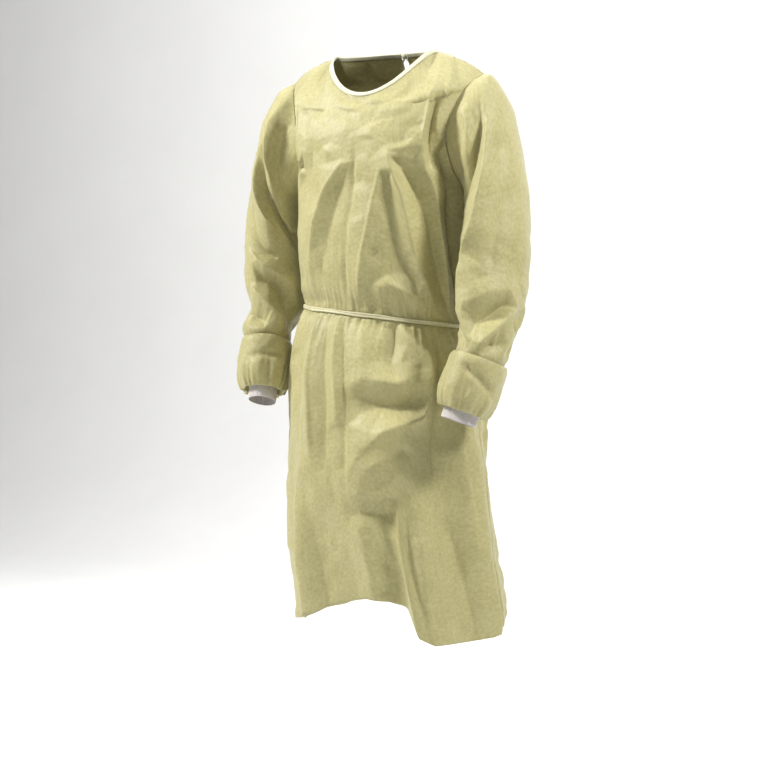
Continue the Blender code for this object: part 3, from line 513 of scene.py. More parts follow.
# The free ends of the two ties, which hang down the back.
tieEnds = {
    "width": 0.0080,
    "neckWidth": 0.0070,
    "thickness": 0.0011,
    "pinch": 0.60,
    "columns": 11,
    "roll": 0.0004,
    "roundedBy": 0.0003,
    "waistLength": 0.313,
    "neckLength": 0.125,
    "routes": {
        "waist_tie_end_left": (
            (0.003, 0.1353, -0.5187), (0.0046, 0.1375, -0.5256), (0.0057, 0.1491, -0.5507),
            (0.0067, 0.1537, -0.5769), (0.0079, 0.1572, -0.6024), (0.0091, 0.1604, -0.6277),
            (0.0103, 0.1632, -0.6527), (0.0115, 0.166, -0.6776), (0.0127, 0.1688, -0.7026),
            (0.0139, 0.1716, -0.7275), (0.0151, 0.1741, -0.7524), (0.0163, 0.1767, -0.7773),
            (0.0179, 0.1793, -0.8017), (0.0194, 0.182, -0.826),
        ),
        "waist_tie_end_right": (
            (-0.0028, 0.1353, -0.5187), (-0.0039, 0.1369, -0.5249), (-0.0051, 0.1476, -0.55),
            (-0.0064, 0.1525, -0.5758), (-0.0077, 0.1565, -0.6012), (-0.009, 0.1603, -0.6265),
            (-0.0102, 0.1632, -0.6516), (-0.0115, 0.166, -0.6768), (-0.0128, 0.1688, -0.7019),
            (-0.0141, 0.1716, -0.727), (-0.0154, 0.1742, -0.7521), (-0.0167, 0.1767, -0.7771),
            (-0.0176, 0.1794, -0.8017), (-0.0186, 0.1821, -0.8263),
        ),
        "neck_tie_end_left": (
            (0.0027, 0.0905, 0.0024), (0.0116, 0.098, -0.0039), (0.0124, 0.1027, -0.0115),
            (0.0132, 0.1073, -0.0191), (0.014, 0.1118, -0.0269), (0.0151, 0.1157, -0.035),
            (0.0162, 0.1195, -0.0432), (0.0172, 0.1233, -0.0516), (0.0182, 0.127, -0.0601),
            (0.0192, 0.1308, -0.0687), (0.0201, 0.1334, -0.0778), (0.021, 0.1356, -0.0872),
            (0.0218, 0.1377, -0.0967), (0.0228, 0.1389, -0.1065),
        ),
        "neck_tie_end_right": (
            (-0.0027, 0.0905, 0.0024), (-0.0116, 0.098, -0.0039), (-0.0124, 0.1027, -0.0115),
            (-0.0132, 0.1073, -0.0191), (-0.014, 0.1119, -0.0269), (-0.0151, 0.1157, -0.0352),
            (-0.0161, 0.1196, -0.0434), (-0.0171, 0.1228, -0.052), (-0.0181, 0.1253, -0.0609),
            (-0.0189, 0.1277, -0.0698), (-0.0198, 0.1297, -0.079), (-0.0207, 0.1315, -0.0882),
            (-0.0215, 0.1333, -0.0975), (-0.0224, 0.1345, -0.1072),
        ),
    },
}


def ribbonNet(line, out, width, columns, roll, twist):
    # A ribbon turned by twist along its line: its middle stands proud of its two edges by roll.
    ahead = unit(np.gradient(line, axis=0))
    sideways = unit(np.cross(out, ahead))
    sideways = np.cos(twist)[:, None] * sideways + np.sin(twist)[:, None] * out
    out = unit(np.cross(ahead, sideways))
    share = np.linspace(-1, 1, columns)
    width = np.broadcast_to(width, len(line))[:, None, None]
    net = line[:, None] + sideways[:, None] * share[None, :, None] * width / 2
    return net + out[:, None] * (roll * (1 - share**2))[None, :, None]


def makeTieEnd(name, route):
    onWaist = name.startswith("waist")
    width = tieEnds["width"] if onWaist else tieEnds["neckWidth"]
    line = curved(route, 9)
    gone = distances(line)
    share = gone / gone[-1]
    out = np.zeros_like(line)
    out[:, 1] = 1
    ahead = unit(np.gradient(line, axis=0))
    out = unit(out - ahead * np.sum(out * ahead, axis=1, keepdims=True))
    full = tieEnds["pinch"] + (1 - tieEnds["pinch"]) * smooth(share / 0.12)
    wave = 1 + 0.05 * np.sin(gone * 210) + 0.03 * np.sin(gone * 77 + 1)
    twist = 0.16 * np.sin(gone * 34 + (0 if name.endswith("left") else 2)) * smooth(share / 0.2)
    net = ribbonNet(line, out, width * full * wave, tieEnds["columns"], tieEnds["roll"], twist)
    patch = flatPatch(net)[..., ::-1]
    material = gownCloth if onWaist else tape
    piece = netPiece(name + "_ribbon", net, patch, material, wall=tieEnds["thickness"], offset=0.0)
    rounded = piece.modifiers.new("edges", "BEVEL")
    rounded.width = tieEnds["roundedBy"]
    rounded.segments = 2
    rounded.limit_method = "ANGLE"
    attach(piece, "root")
    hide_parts(name)


for endName, endRoute in tieEnds["routes"].items():
    makeTieEnd(endName, endRoute)
print("tie ends made")

# The body: rings of a general figure under loose cloth.
body = {
    "cut": {
        "front_panel": {"flat": (0.72, 1.24), "area": 0.62},
        "back_panel_left": {"flat": (0.42, 1.17), "area": 0.36},
        "back_panel_right": {"flat": (0.42, 1.17), "area": 0.36},
    },
    "hemHeight": -1.100,
    "hemReach": 0.330,
    "waistHeight": -0.512,
    "waistTilt": 0.021,
    "waistTiltReach": 0.160,
    "tieWidth": 0.0080,
    "underarm": -0.275,
    "shoulderTop": 0.045,
    "foldRadius": 0.170,
    "wall": 0.0005,
    "frontColumns": 200,
    "backColumns": 112,
    # from one level up to another, and the rows between them
    "rows": (
        (-1.1, -0.62, 86), (-0.62, -0.535, 24), (-0.535, -0.49, 20),
        (-0.49, -0.43, 20), (-0.43, -0.275, 30), (-0.275, 0.045, 64),
    ),
    # height, half width, depth in front, depth behind, shift to the left, shift back
    "rings": (
        (-1.1, 0.212, 0.185, 0.175, 0.014, 0.035), (-0.95, 0.208, 0.18, 0.175, 0.004, 0.015),
        (-0.8, 0.203, 0.172, 0.168, 0, 0.005), (-0.68, 0.195, 0.163, 0.16, 0, 0),
        (-0.59, 0.184, 0.147, 0.148, 0, 0), (-0.545, 0.175, 0.134, 0.138, 0, 0),
        (-0.512, 0.166, 0.12, 0.124, 0, 0), (-0.475, 0.171, 0.132, 0.13, 0, 0),
        (-0.42, 0.172, 0.141, 0.134, 0, 0), (-0.34, 0.171, 0.143, 0.134, 0, 0),
        (-0.275, 0.172, 0.14, 0.132, 0, 0),
    ),
    # level, y and height at the middle, x, y and height at the armhole, flatness
    "frontYoke": (
        (-0.23, -0.139, -0.238, 0.166, -0.042, -0.236, 1.2),
        (-0.175, -0.135, -0.202, 0.162, -0.06, -0.19, 1.35),
        (-0.11, -0.127, -0.164, 0.168, -0.058, -0.14, 1.5),
        (-0.05, -0.115, -0.13, 0.182, -0.04, -0.098, 1.6), (0, -0.104, -0.107, 0.197, -0.014, -0.07, 1.5),
    ),
    "backYoke": (
        (-0.23, 0.136, -0.222, 0.168, 0.044, -0.236, 1.2),
        (-0.175, 0.137, -0.165, 0.165, 0.066, -0.19, 1.35), (-0.11, 0.133, -0.105, 0.17, 0.066, -0.14, 1.5),
        (-0.05, 0.121, -0.055, 0.184, 0.052, -0.098, 1.6), (0, 0.103, -0.018, 0.198, 0.032, -0.07, 1.5),
    ),
    "neckTurn": math.radians(6 * 180 / 28),
    "neckHalfWidth": 0.105,
    "neckFront": (-0.093, -0.088),
    "neckBack": (0.083, 0.012),
    "neckDipPower": 1.7,
    "shoulderTip": (0.208, 0.010, -0.055),
    "shoulderSlope": math.radians(28),
    "shoulderArch": 0.006,
    # degrees round the body and metres above the hem's level
    "hemLine": (
        (-180, 0.012), (-130, 0), (-90, -0.02), (-50, -0.006), (-15, 0.034), (5, 0.049), (18, 0.046),
        (27, 0.036), (34, -0.02), (42, -0.034), (80, -0.034), (98, -0.024), (122, 0.028), (150, 0.03),
        (180, 0.012),
    ),
}


def topEdge(angle, front):
    # The neck edge in the middle and a shoulder seam at each side.
    fromMiddle = np.abs(angle) if front else math.pi - np.abs(angle)
    neck = body["neckTurn"]
    roundNeck = np.clip(fromMiddle / neck, 0, 1) * math.pi / 2
    alongSeam = np.clip((fromMiddle - neck) / (math.pi / 2 - neck), 0, 1)
    depth, height = body["neckFront"] if front else body["neckBack"]
    dip = np.clip(np.cos(roundNeck), 0, 1)
    ring = np.stack(
        (
            body["neckHalfWidth"] * np.sin(roundNeck),
            depth * dip,
            height * dip ** body["neckDipPower"],
        ),
        axis=-1,
    )
    seam = np.array(body["shoulderTip"]) - (body["neckHalfWidth"], 0, 0)
    ring = ring + alongSeam[..., None] * seam
    ring[..., 2] += body["shoulderArch"] * np.sin(alongSeam * math.pi)
    ring[..., 0] *= np.sign(np.sin(angle))
    return ring


def bodyForm(angle, level, front):
    # The smooth form of the body cloth at any angle and level, before its folds.
    across, ahead = np.sin(angle), np.cos(angle)
    rings = []
    for height, halfWidth, frontDepth, backDepth, shiftX, shiftY in body["rings"]:
        depth = np.where(ahead > 0, frontDepth, backDepth)
        ring = (shiftX + halfWidth * across, shiftY - depth * ahead, np.full_like(angle, height))
        rings.append(np.stack(ring, axis=-1))
    yokes = body["frontYoke" if front else "backYoke"]
    for _, middleY, middleZ, edgeX, edgeY, edgeZ, flatness in yokes:
        fromMiddle = np.abs(ahead) ** flatness
        ring = (
            edgeX * across,
            edgeY + (middleY - edgeY) * fromMiddle,
            middleZ + (edgeZ - middleZ) * across**2,
        )
        rings.append(np.stack(ring, axis=-1))
    rings.append(topEdge(angle, front))
    rings = np.array(rings)
    places = np.array([row[0] for row in (*body["rings"], *yokes)] + [body["shoulderTop"]])
    slopes = np.gradient(rings, places, axis=0)
    split = len(body["rings"]) - 1
    below = (rings[split] - rings[split - 1]) / (places[split] - places[split - 1])
    slopes[split] += (below - slopes[split]) * (np.abs(across) ** 12)[..., None]
    low = np.clip(np.searchsorted(places, level) - 1, 0, len(places) - 2)
    span = places[low + 1] - places[low]
    part = ((level - places[low]) / span)[..., None]
    span = span[..., None]
    rise = 3 * part**2 - 2 * part**3
    pick = tuple(np.indices(low.shape))
    net = (
        rings[(low, *pick)] * (1 - rise)
        + rings[(low + 1, *pick)] * rise
        + slopes[(low, *pick)] * span * (part**3 - 2 * part**2 + part)
        + slopes[(low + 1, *pick)] * span * (part**3 - part**2)
    )
    turned = np.degrees((angle + math.pi) % (2 * math.pi) - math.pi)
    table = np.array(body["hemLine"])
    rise = np.interp(turned, table[:, 0], table[:, 1])
    net[..., 2] += rise * smooth((body["hemHeight"] + body["hemReach"] - level) / body["hemReach"])
    fromWaist = (level - body["waistHeight"]) / body["waistTiltReach"]
    net[..., 2] -= body["waistTilt"] * across * np.exp(-(fromWaist**2))
    return net


# Folds: (points as degrees and level, width to the right, width to the left, height, crest). A line
# is drawn downwards, and right and left are the wearer's.
folds = {
    "soft": (
        (((23, -0.78), (28, -1.42)), 0.032, 0.032, -0.023, 0.5),
        (((36, -0.78), (41, -1.42)), 0.028, 0.028, 0.015, 0.5),
        (((54, -0.56), (66, -1.3)), 0.042, 0.042, -0.012, 0.5),
        (((78, -0.62), (88, -1.4)), 0.046, 0.046, 0.014, 0.5),
        (((-28, -0.86), (8, -1.2)), 0.044, 0.044, -0.012, 0.5),
        (((-34, -0.84), (-38, -1.4)), 0.034, 0.034, 0.011, 0.5),
        (((-56, -0.58), (-54, -1.36)), 0.042, 0.042, -0.012, 0.5),
        (((-80, -0.74), (-76, -1.4)), 0.042, 0.042, 0.009, 0.5),
        (((112, -0.6), (116, -1.4)), 0.046, 0.046, -0.012, 0.5),
        (((140, -0.56), (146, -1.4)), 0.046, 0.046, 0.012, 0.5),
        (((-108, -0.58), (-104, -1.4)), 0.046, 0.046, -0.01, 0.5),
        (((-136, -0.56), (-140, -1.4)), 0.046, 0.046, 0.012, 0.5),
        (((128, -0.06), (112, -0.3)), 0.03, 0.03, 0.007, 0.5),
        (((-128, -0.06), (-112, -0.3)), 0.03, 0.03, 0.007, 0.5),
        (((116, -0.3), (140, -0.48)), 0.032, 0.032, -0.007, 0.5),
        (((-116, -0.3), (-140, -0.48)), 0.032, 0.032, -0.007, 0.5),
    ),
    # lines of creases: degrees, level, height in millimetres
    "frontCreases": (
        ((26, -0.165, 4), (27, -0.2, 9), (29, -0.25, 11), (34, -0.3, 11), (38.5, -0.35, 10), (43, -0.4, 8),
         (51, -0.45, 6), (57, -0.485, 2)),
        ((31, -0.212, 0), (38, -0.25, -5), (46, -0.3, -8), (55, -0.35, -8), (60, -0.4, -8),
         (65, -0.45, -7), (70, -0.488, -4)),
        ((52.5, -0.235, 8), (56, -0.28, 7), (59, -0.32, 6), (64, -0.38, 5), (68, -0.44, 3),
         (72, -0.485, 0)),
        ((78, -0.18, -8), (76, -0.22, -12), (73, -0.28, -13), (76, -0.35, -13), (79, -0.4, -12),
         (82, -0.45, -8), (84, -0.49, -4)),
        ((26, -0.245, 3), (25, -0.3, 0), (28, -0.35, -2), (33, -0.4, -3), (41, -0.435, -3)),
        ((21, -0.2, 6), (19, -0.25, 7), (15, -0.3, 7), (12, -0.35, 7), (8, -0.4, 6), (5, -0.45, 4),
         (3, -0.49, 0)),
        ((2, -0.13, 1), (1.5, -0.2, -1), (0, -0.25, -2), (-1.5, -0.3, -2), (-4, -0.35, -2),
         (-4.5, -0.4, -2), (-4.5, -0.45, -2), (-4.5, -0.495, -1)),
        ((-8, -0.215, 4), (-17, -0.26, 6), (-23, -0.3, 7), (-29, -0.345, 7), (-33, -0.39, 5),
         (-36, -0.45, 3), (-38, -0.495, 0)),
        ((-3.5, -0.225, 0), (-7, -0.26, -3), (-12, -0.3, -4), (-18, -0.35, -4), (-23, -0.4, -3),
         (-26, -0.45, -1), (-27, -0.495, -2)),
        ((-60, -0.19, -2), (-45, -0.235, -2), (-31, -0.285, -1)),
        ((-62, -0.26, 3), (-52, -0.32, 4), (-46, -0.36, 5), (-44, -0.42, 3), (-46, -0.49, 0)),
        ((47, 0.042, 2), (45.5, 0.01, 6), (44.5, -0.02, 9), (49, -0.06, 10), (51.5, -0.1, 10),
         (52, -0.15, 10), (52, -0.21, 9)),
        ((49.5, -0.03, 1), (56, -0.08, -6), (59, -0.12, -8), (60, -0.16, -8), (60, -0.195, -6),
         (58, -0.218, 0)),
        ((52, 0.03, 3), (56, -0.02, 5), (63, -0.07, 7), (69, -0.11, 7), (73, -0.145, 4), (72, -0.17, -2)),
        ((58, -0.228, 4), (63, -0.24, 4), (67, -0.252, -2)),
        ((35, -0.203, 5), (45, -0.207, 3)),
        ((-54, 0.02, 3), (-54, -0.03, 5), (-55, -0.09, 7), (-56, -0.15, 7), (-52, -0.23, 4)),
        ((-67, -0.02, -3), (-67, -0.1, -6), (-68, -0.17, -5), (-70, -0.24, -2)),
        ((22, -0.432, 2), (28, -0.45, 6), (38, -0.46, 5), (45, -0.466, 3)),
        ((15, -0.12, 3), (30, -0.11, 3), (38, -0.13, 3)),
        ((-30, -0.08, 2), (-25, -0.16, 2)),
        ((-7, -0.522, 0), (-6, -0.56, -1), (-3, -0.62, -1), (-1, -0.68, -2), (0, -0.74, -1), (0, -0.8, 0)),
        ((-33, -0.522, 1), (-31, -0.56, 5), (-29, -0.62, 7), (-26, -0.68, 6), (-24, -0.74, 5),
         (-24, -0.8, 2)),
        ((-45, -0.53, -1), (-42, -0.6, -3), (-40, -0.68, -3), (-38, -0.76, -2)),
        ((-22, -0.525, -1), (-19, -0.57, -3), (-16, -0.64, -3), (-14, -0.7, -4), (-14, -0.78, -4)),
        ((-13, -0.522, 1), (-11, -0.56, 5), (-9, -0.61, 6), (-6, -0.66, 5), (-5, -0.71, 3)),
        ((5, -0.53, 2), (8, -0.58, 4), (9, -0.61, 4)),
        ((12, -0.632, 6), (20, -0.638, 7), (30, -0.64, 8), (38, -0.63, 7), (44, -0.605, 6)),
        ((3, -0.665, -3), (12, -0.672, -7), (22, -0.683, -9), (32, -0.682, -9), (40, -0.668, -5)),
        ((27, -0.522, -3), (27, -0.555, -6), (26, -0.6, -3)),
        ((31, -0.524, 2), (37, -0.545, 7), (45, -0.565, 10), (50, -0.585, 12), (51, -0.62, 12),
         (49.5, -0.66, 11), (47, -0.69, 12), (44, -0.705, 13), (36, -0.715, 14), (26, -0.728, 14),
         (18, -0.748, 12), (11, -0.77, 10), (5, -0.8, 7), (2, -0.83, 4)),
        ((58, -0.535, 0), (57, -0.58, 0), (56, -0.64, -2), (54, -0.7, -5), (52, -0.76, -7),
         (52, -0.82, -7), (50, -0.88, -6)),
        ((66, -0.53, 4), (68, -0.6, 6), (68, -0.7, 5), (70, -0.8, 4), (73, -0.88, 5), (75, -0.95, 5)),
        ((9, -0.825, 8), (16, -0.8, 12), (24, -0.79, 12), (29, -0.815, 9), (20, -0.845, 9), (8, -0.853, 5)),
        ((32, -0.765, 7), (36, -0.8, 3), (38, -0.84, -1)),
        ((0, -0.87, -2), (8, -0.874, 0), (16, -0.874, 1), (24, -0.868, 1)),
        ((2, -0.905, -5), (10, -0.905, -5), (20, -0.905, -4), (25, -0.9, -1)),
        ((-38, -0.84, 2), (-37, -0.9, 4), (-36, -0.96, 5), (-35, -1.02, 5), (-35, -1.1, 5)),
        ((-30, -0.85, -2), (-26, -0.92, -3), (-22, -1, -4), (-18, -1.1, -4)),
        ((-8, -0.86, -4), (-4, -0.94, -4), (-1, -1.02, -4), (0, -1.1, -4)),
        ((6, -0.94, 1), (9, -1.02, 2), (11, -1.1, 2)),
        ((29, -0.86, 4), (28.5, -0.9, 7), (28.5, -0.95, 8), (29.5, -1, 8), (31, -1.05, 8), (33, -1.1, 7)),
        ((33, -0.9, -1), (34.5, -0.95, -4), (36, -1, -5), (38, -1.05, -5), (40, -1.1, -4)),
        ((48, -0.94, 2), (50, -1.02, 2), (52, -1.1, 2)),
        ((59, -0.905, -3), (65, -0.95, -5), (69, -1.02, -6), (71, -1.09, -6)),
        ((82, -0.86, 3), (84, -0.96, 4), (86, -1.08, 4)),
        ((-60, -0.56, 4), (-62, -0.64, 5), (-60, -0.74, 3)),
        ((-72, -0.54, -3), (-74, -0.62, -4), (-74, -0.72, -2)),
        ((-52, -0.86, -2), (-54, -0.96, -3), (-54, -1.08, -2)),
        ((-90, 0.04, 0), (-90, -0.2, 0), (-90, -0.5, 0), (-90, -0.8, 0), (-90, -1.1, 0)),
        ((90, 0.04, 0), (90, -0.2, 0), (90, -0.5, 0), (90, -0.8, 0), (90, -1.1, 0)),
        ((-88, -0.512, 0), (-44, -0.512, -1), (0, -0.512, -1), (44, -0.512, -1), (88, -0.512, 0)),
        ((-40, 0.045, 1), (-20, 0.045, 0), (0, 0.045, 0), (20, 0.045, 0), (40, 0.045, 1)),
    ),
    "backCreases": (
        ((112, 0.02, 2), (116, -0.06, 4), (122, -0.14, 5), (130, -0.24, 4), (136, -0.34, 2)),
        ((104, -0.16, -3), (107, -0.24, -4), (112, -0.32, -4), (116, -0.44, -3)),
        ((146, -0.05, -2), (148, -0.14, -4), (146, -0.24, -4), (150, -0.36, -4), (154, -0.46, -2)),
        ((160, -0.1, 3), (164, -0.2, 5), (162, -0.32, 5), (168, -0.42, 4), (170, -0.49, 1)),
        ((132, -0.38, 4), (140, -0.44, 5), (144, -0.49, 2)),
        ((-110, 0.02, 2), (-115, -0.08, 4), (-124, -0.18, 5), (-134, -0.28, 4), (-140, -0.4, 4),
         (-142, -0.49, 1)),
        ((-103, -0.18, -3), (-106, -0.28, -4), (-112, -0.38, -4), (-118, -0.48, -3)),
        ((-148, -0.06, 3), (-146, -0.14, 4), (-150, -0.24, 3)),
        ((-158, -0.14, -3), (-160, -0.26, -4), (-156, -0.38, -4), (-160, -0.48, -2)),
        ((-172, -0.12, 3), (-176, -0.24, 4), (-174, -0.36, 3)),
        ((104, -0.53, 2), (106, -0.64, 4), (108, -0.78, 5), (110, -0.94, 6), (112, -1.1, 6)),
        ((118, -0.54, -3), (121, -0.68, -4), (124, -0.84, -5), (127, -1.1, -5)),
        ((138, -0.53, 3), (139, -0.64, 5), (142, -0.8, 6), (144, -0.96, 6), (146, -1.1, 6)),
        ((154, -0.56, -3), (156, -0.72, -4), (158, -0.9, -4), (159, -1.1, -4)),
        ((170, -0.53, 2), (171, -0.66, 4), (173, -0.82, 4), (174, -1.1, 4)),
        ((-104, -0.54, 3), (-105, -0.66, 4), (-108, -0.84, 5), (-110, -1.1, 6)),
        ((-120, -0.55, -3), (-121, -0.72, -5), (-124, -0.92, -5), (-125, -1.1, -5)),
        ((-138, -0.53, 3), (-136, -0.66, 5), (-139, -0.84, 6), (-141, -1.1, 6)),
        ((-155, -0.56, -3), (-156, -0.74, -4), (-159, -0.94, -4), (-160, -1.1, -4)),
        ((-92, 0.04, 0), (-92, -0.2, 0), (-92, -0.5, 0), (-92, -0.8, 0), (-92, -1.1, 0)),
        ((92, 0.04, 0), (92, -0.2, 0), (92, -0.5, 0), (92, -0.8, 0), (92, -1.1, 0)),
        ((96, -0.512, 0), (130, -0.512, -1), (160, -0.512, 0), (200, -0.512, -1), (230, -0.512, 0),
         (264, -0.512, 0)),
    ),
    "back": (
        (((116, -0.01), (120, -0.11), (112, -0.22)), 0.012, 0.018, 0.006, 0.15),
        (((136, -0.02), (130, -0.16), (120, -0.3)), 0.022, 0.014, 0.006, 0.18),
        (((158, -0.1), (150, -0.24), (142, -0.4)), 0.02, 0.026, 0.006, 0.2),
        (((104, -0.3), (112, -0.4), (122, -0.498)), 0.016, 0.012, 0.006, 0.15),
        (((128, -0.4), (136, -0.498)), 0.01, 0.014, 0.0055, 0.15),
        (((150, -0.42), (154, -0.496)), 0.01, 0.01, 0.0045, 0.15),
        (((168, -0.43), (170, -0.494)), 0.008, 0.01, 0.0035, 0.18),
        (((100, -0.526), (106, -0.64), (104, -0.8)), 0.014, 0.02, 0.0065, 0.15),
        (((116, -0.524), (118, -0.6), (126, -0.72)), 0.012, 0.01, 0.0055, 0.14),
        (((130, -0.524), (136, -0.64), (138, -0.86)), 0.016, 0.012, 0.0065, 0.14),
        (((146, -0.526), (150, -0.6), (148, -0.7)), 0.01, 0.014, 0.005, 0.14),
        (((162, -0.526), (164, -0.62), (160, -0.76)), 0.012, 0.014, 0.0045, 0.16),
        (((124, -0.76), (128, -0.94), (124, -1.2)), 0.022, 0.014, 0.007, 0.14),
        (((156, -0.78), (158, -0.96), (162, -1.22)), 0.016, 0.022, 0.006, 0.16),
        (((102, -0.86), (106, -1), (104, -1.24)), 0.018, 0.022, 0.006, 0.16),
        (((-112, -0.01), (-118, -0.13), (-110, -0.24)), 0.018, 0.012, 0.006, 0.15),
        (((-134, -0.03), (-126, -0.17), (-118, -0.3)), 0.014, 0.022, 0.006, 0.18),
        (((-156, -0.09), (-146, -0.26), (-140, -0.41)), 0.024, 0.02, 0.0055, 0.2),
        (((-102, -0.32), (-110, -0.42), (-118, -0.498)), 0.012, 0.018, 0.006, 0.15),
        (((-130, -0.39), (-136, -0.498)), 0.014, 0.01, 0.0055, 0.15),
        (((-148, -0.43), (-152, -0.496)), 0.01, 0.01, 0.004, 0.15),
        (((-98, -0.526), (-104, -0.66), (-102, -0.82)), 0.02, 0.014, 0.0065, 0.15),
        (((-118, -0.524), (-124, -0.62), (-122, -0.76)), 0.012, 0.014, 0.0055, 0.14),
        (((-132, -0.524), (-134, -0.62), (-142, -0.76)), 0.012, 0.012, 0.006, 0.14),
        (((-150, -0.526), (-148, -0.64), (-152, -0.8)), 0.014, 0.01, 0.0045, 0.14),
        (((-114, -0.82), (-118, -0.98), (-114, -1.22)), 0.014, 0.022, 0.007, 0.14),
        (((-150, -0.86), (-154, -1), (-152, -1.24)), 0.02, 0.016, 0.0055, 0.16),
    ),
    # the pressed crease down the middle of the front
    "pressed": (
        (((2, -0.13), (1, -0.275), (-2, -0.34), (-4.5, -0.4), (-4.5, -0.53)), 0.01, 0.004, -0.002, 0.08),
        (((-6.5, -0.5), (-5, -0.58), (-2, -0.66), (0, -0.76), (1, -0.9)), 0.01, 0.004, -0.002, 0.08),
    ),
    # how far the creases stand out, and the small facets scattered between them
    "crush": {
        "creaseScale": 1.6,
        "spacing": 0.027,
        "clear": 0.013,
        "height": 0.0018,
        "rounding": 0.0013,
        "seed": 5,
    },
    "edges": {"tall": 6, "widths": (0.005, 0.015), "ridge": 0.0030, "groove": 0.0022},
    # the small gathers along the tie, and the crushing of the whole sheet
    "gatherWidth": 0.0135,
    "gatherLength": 0.140,
    "gatherHeight": 0.0034,
    "gatherReach": 0.130,
    "gatherFade": 0.034,
    "gatherStart": 0.006,
    "gatherShift": 0.013,
    "crumpleSize": 0.060,
    "crumpleHeight": 0.0013,
}


def waistGathers(across, level):
    # Small sharp folds above and below the tie, deepest beside it.
    fromTie = np.abs(level - body["waistHeight"]) - body["tieWidth"] / 2
    lift = np.zeros_like(level)
    near = fromTie < folds["gatherReach"]
    side = np.where(level > body["waistHeight"], folds["gatherShift"], 0.0)
    size = folds["gatherWidth"], folds["gatherLength"]
    ridges = streaks(across[near] + side[near], level[near], *size, 4.3)
    fade = np.exp(-np.maximum(fromTie[near], 0) / folds["gatherFade"])
    fade = fade * smooth(fromTie[near] / folds["gatherStart"])
    lift[near] = folds["gatherHeight"] * ridges * fade
    return lift


seams = {"grooveDepth": 0.0005, "grooveWidth": 0.0018, "pullHeight": 0.00040, "pullWidth": 0.010}


def seamPucker(away, along):
    # The sewn groove, with small gathers across it.
    groove = -seams["grooveDepth"] * np.exp(-((away / seams["grooveWidth"]) ** 2))
    pull = np.sin(along * 640 + 2.2 * np.sin(along * 90)) * np.exp(-((away / seams["pullWidth"]) ** 2))
    return groove + seams["pullHeight"] * pull


def bodyLift(angle, level, net, front):
    turned = (angle + math.pi) % (2 * math.pi) - math.pi
    radius = body["foldRadius"]
    across = turned * radius
    lift = foldLift(across, level, folds["soft"], radius)
    creases = folds["frontCreases" if front else "backCreases"]
    turns = (0,) if front else (-1, 0, 1)
    lift += creaseLift(across, level, creases, radius, folds["crush"], turns)
    lift += edgeLift(across, level, creases, radius, folds["edges"])
    lift += foldLift(across, level, folds["pressed"], radius)
    lift += foldLift(across, level, folds["back"], radius)
    lift += crumple(net, folds["crumpleSize"], folds["crumpleHeight"], 3.1)
    flatUnderTie = smooth((np.abs(level - body["waistHeight"]) - body["tieWidth"] * 0.6) / 0.014)
    return lift * flatUnderTie + waistGathers(across, level)


# Where the back panels lap: levels in metres, turns in degrees from the middle of the back.
overlap = {
    "top": -0.080,
    "length": 0.340,
    "openTurn": -1.6,
    "turn": 21.6,
    "outerLift": 0.0030,
    "innerLift": -0.0015,
    "liftTurn": 24,
    "liftFade": 26,
    "liftTop": -0.050,
    "liftLength": 0.030,
}


def lapEdge(level):
    # How far past the middle of the back each back panel reaches, in radians.
    reach = smooth((overlap["top"] - level) / overlap["length"])
    return np.radians(overlap["openTurn"] + overlap["turn"] * reach)


def lapLift(angle, level, outer):
    # The outer panel lies above the middle of the back and the inner one below it.
    fromMiddle = np.abs(180 - np.degrees(np.abs(angle)))
    nearMiddle = 1 - smooth((fromMiddle - overlap["liftTurn"]) / overlap["liftFade"])
    belowNeck = smooth((overlap["liftTop"] - level) / overlap["liftLength"])
    return overlap["outerLift" if outer else "innerLift"] * nearMiddle * belowNeck


def panelLevels():
    # Rows of a panel: closer together beside the tie and over the chest.
    levels = [np.linspace(low, high, count, endpoint=False) for low, high, count in body["rows"]]
    return np.concatenate((*levels, (body["shoulderTop"],)))


def middleAway(one, angle):
    # Radians from the middle of the front, or from the middle of the back.
    return np.abs(angle) if one["outer"] is None else math.pi - np.abs(angle)


# Where the panels' folds are held down: beside the arms, and under the hanging tie ends.
held = {
    "armWidth": 0.105,
    "lowWidth": 0.075,
    "wideAbove": -0.20,
    "armFade": 0.030,
    "armEnd": -0.33,
    "armEndFade": 0.04,
    "tieWidth": 0.050,
    "tieFade": 0.018,
    "tieLevels": (-0.87, 0.01),
    "sunk": 0.0010,
}


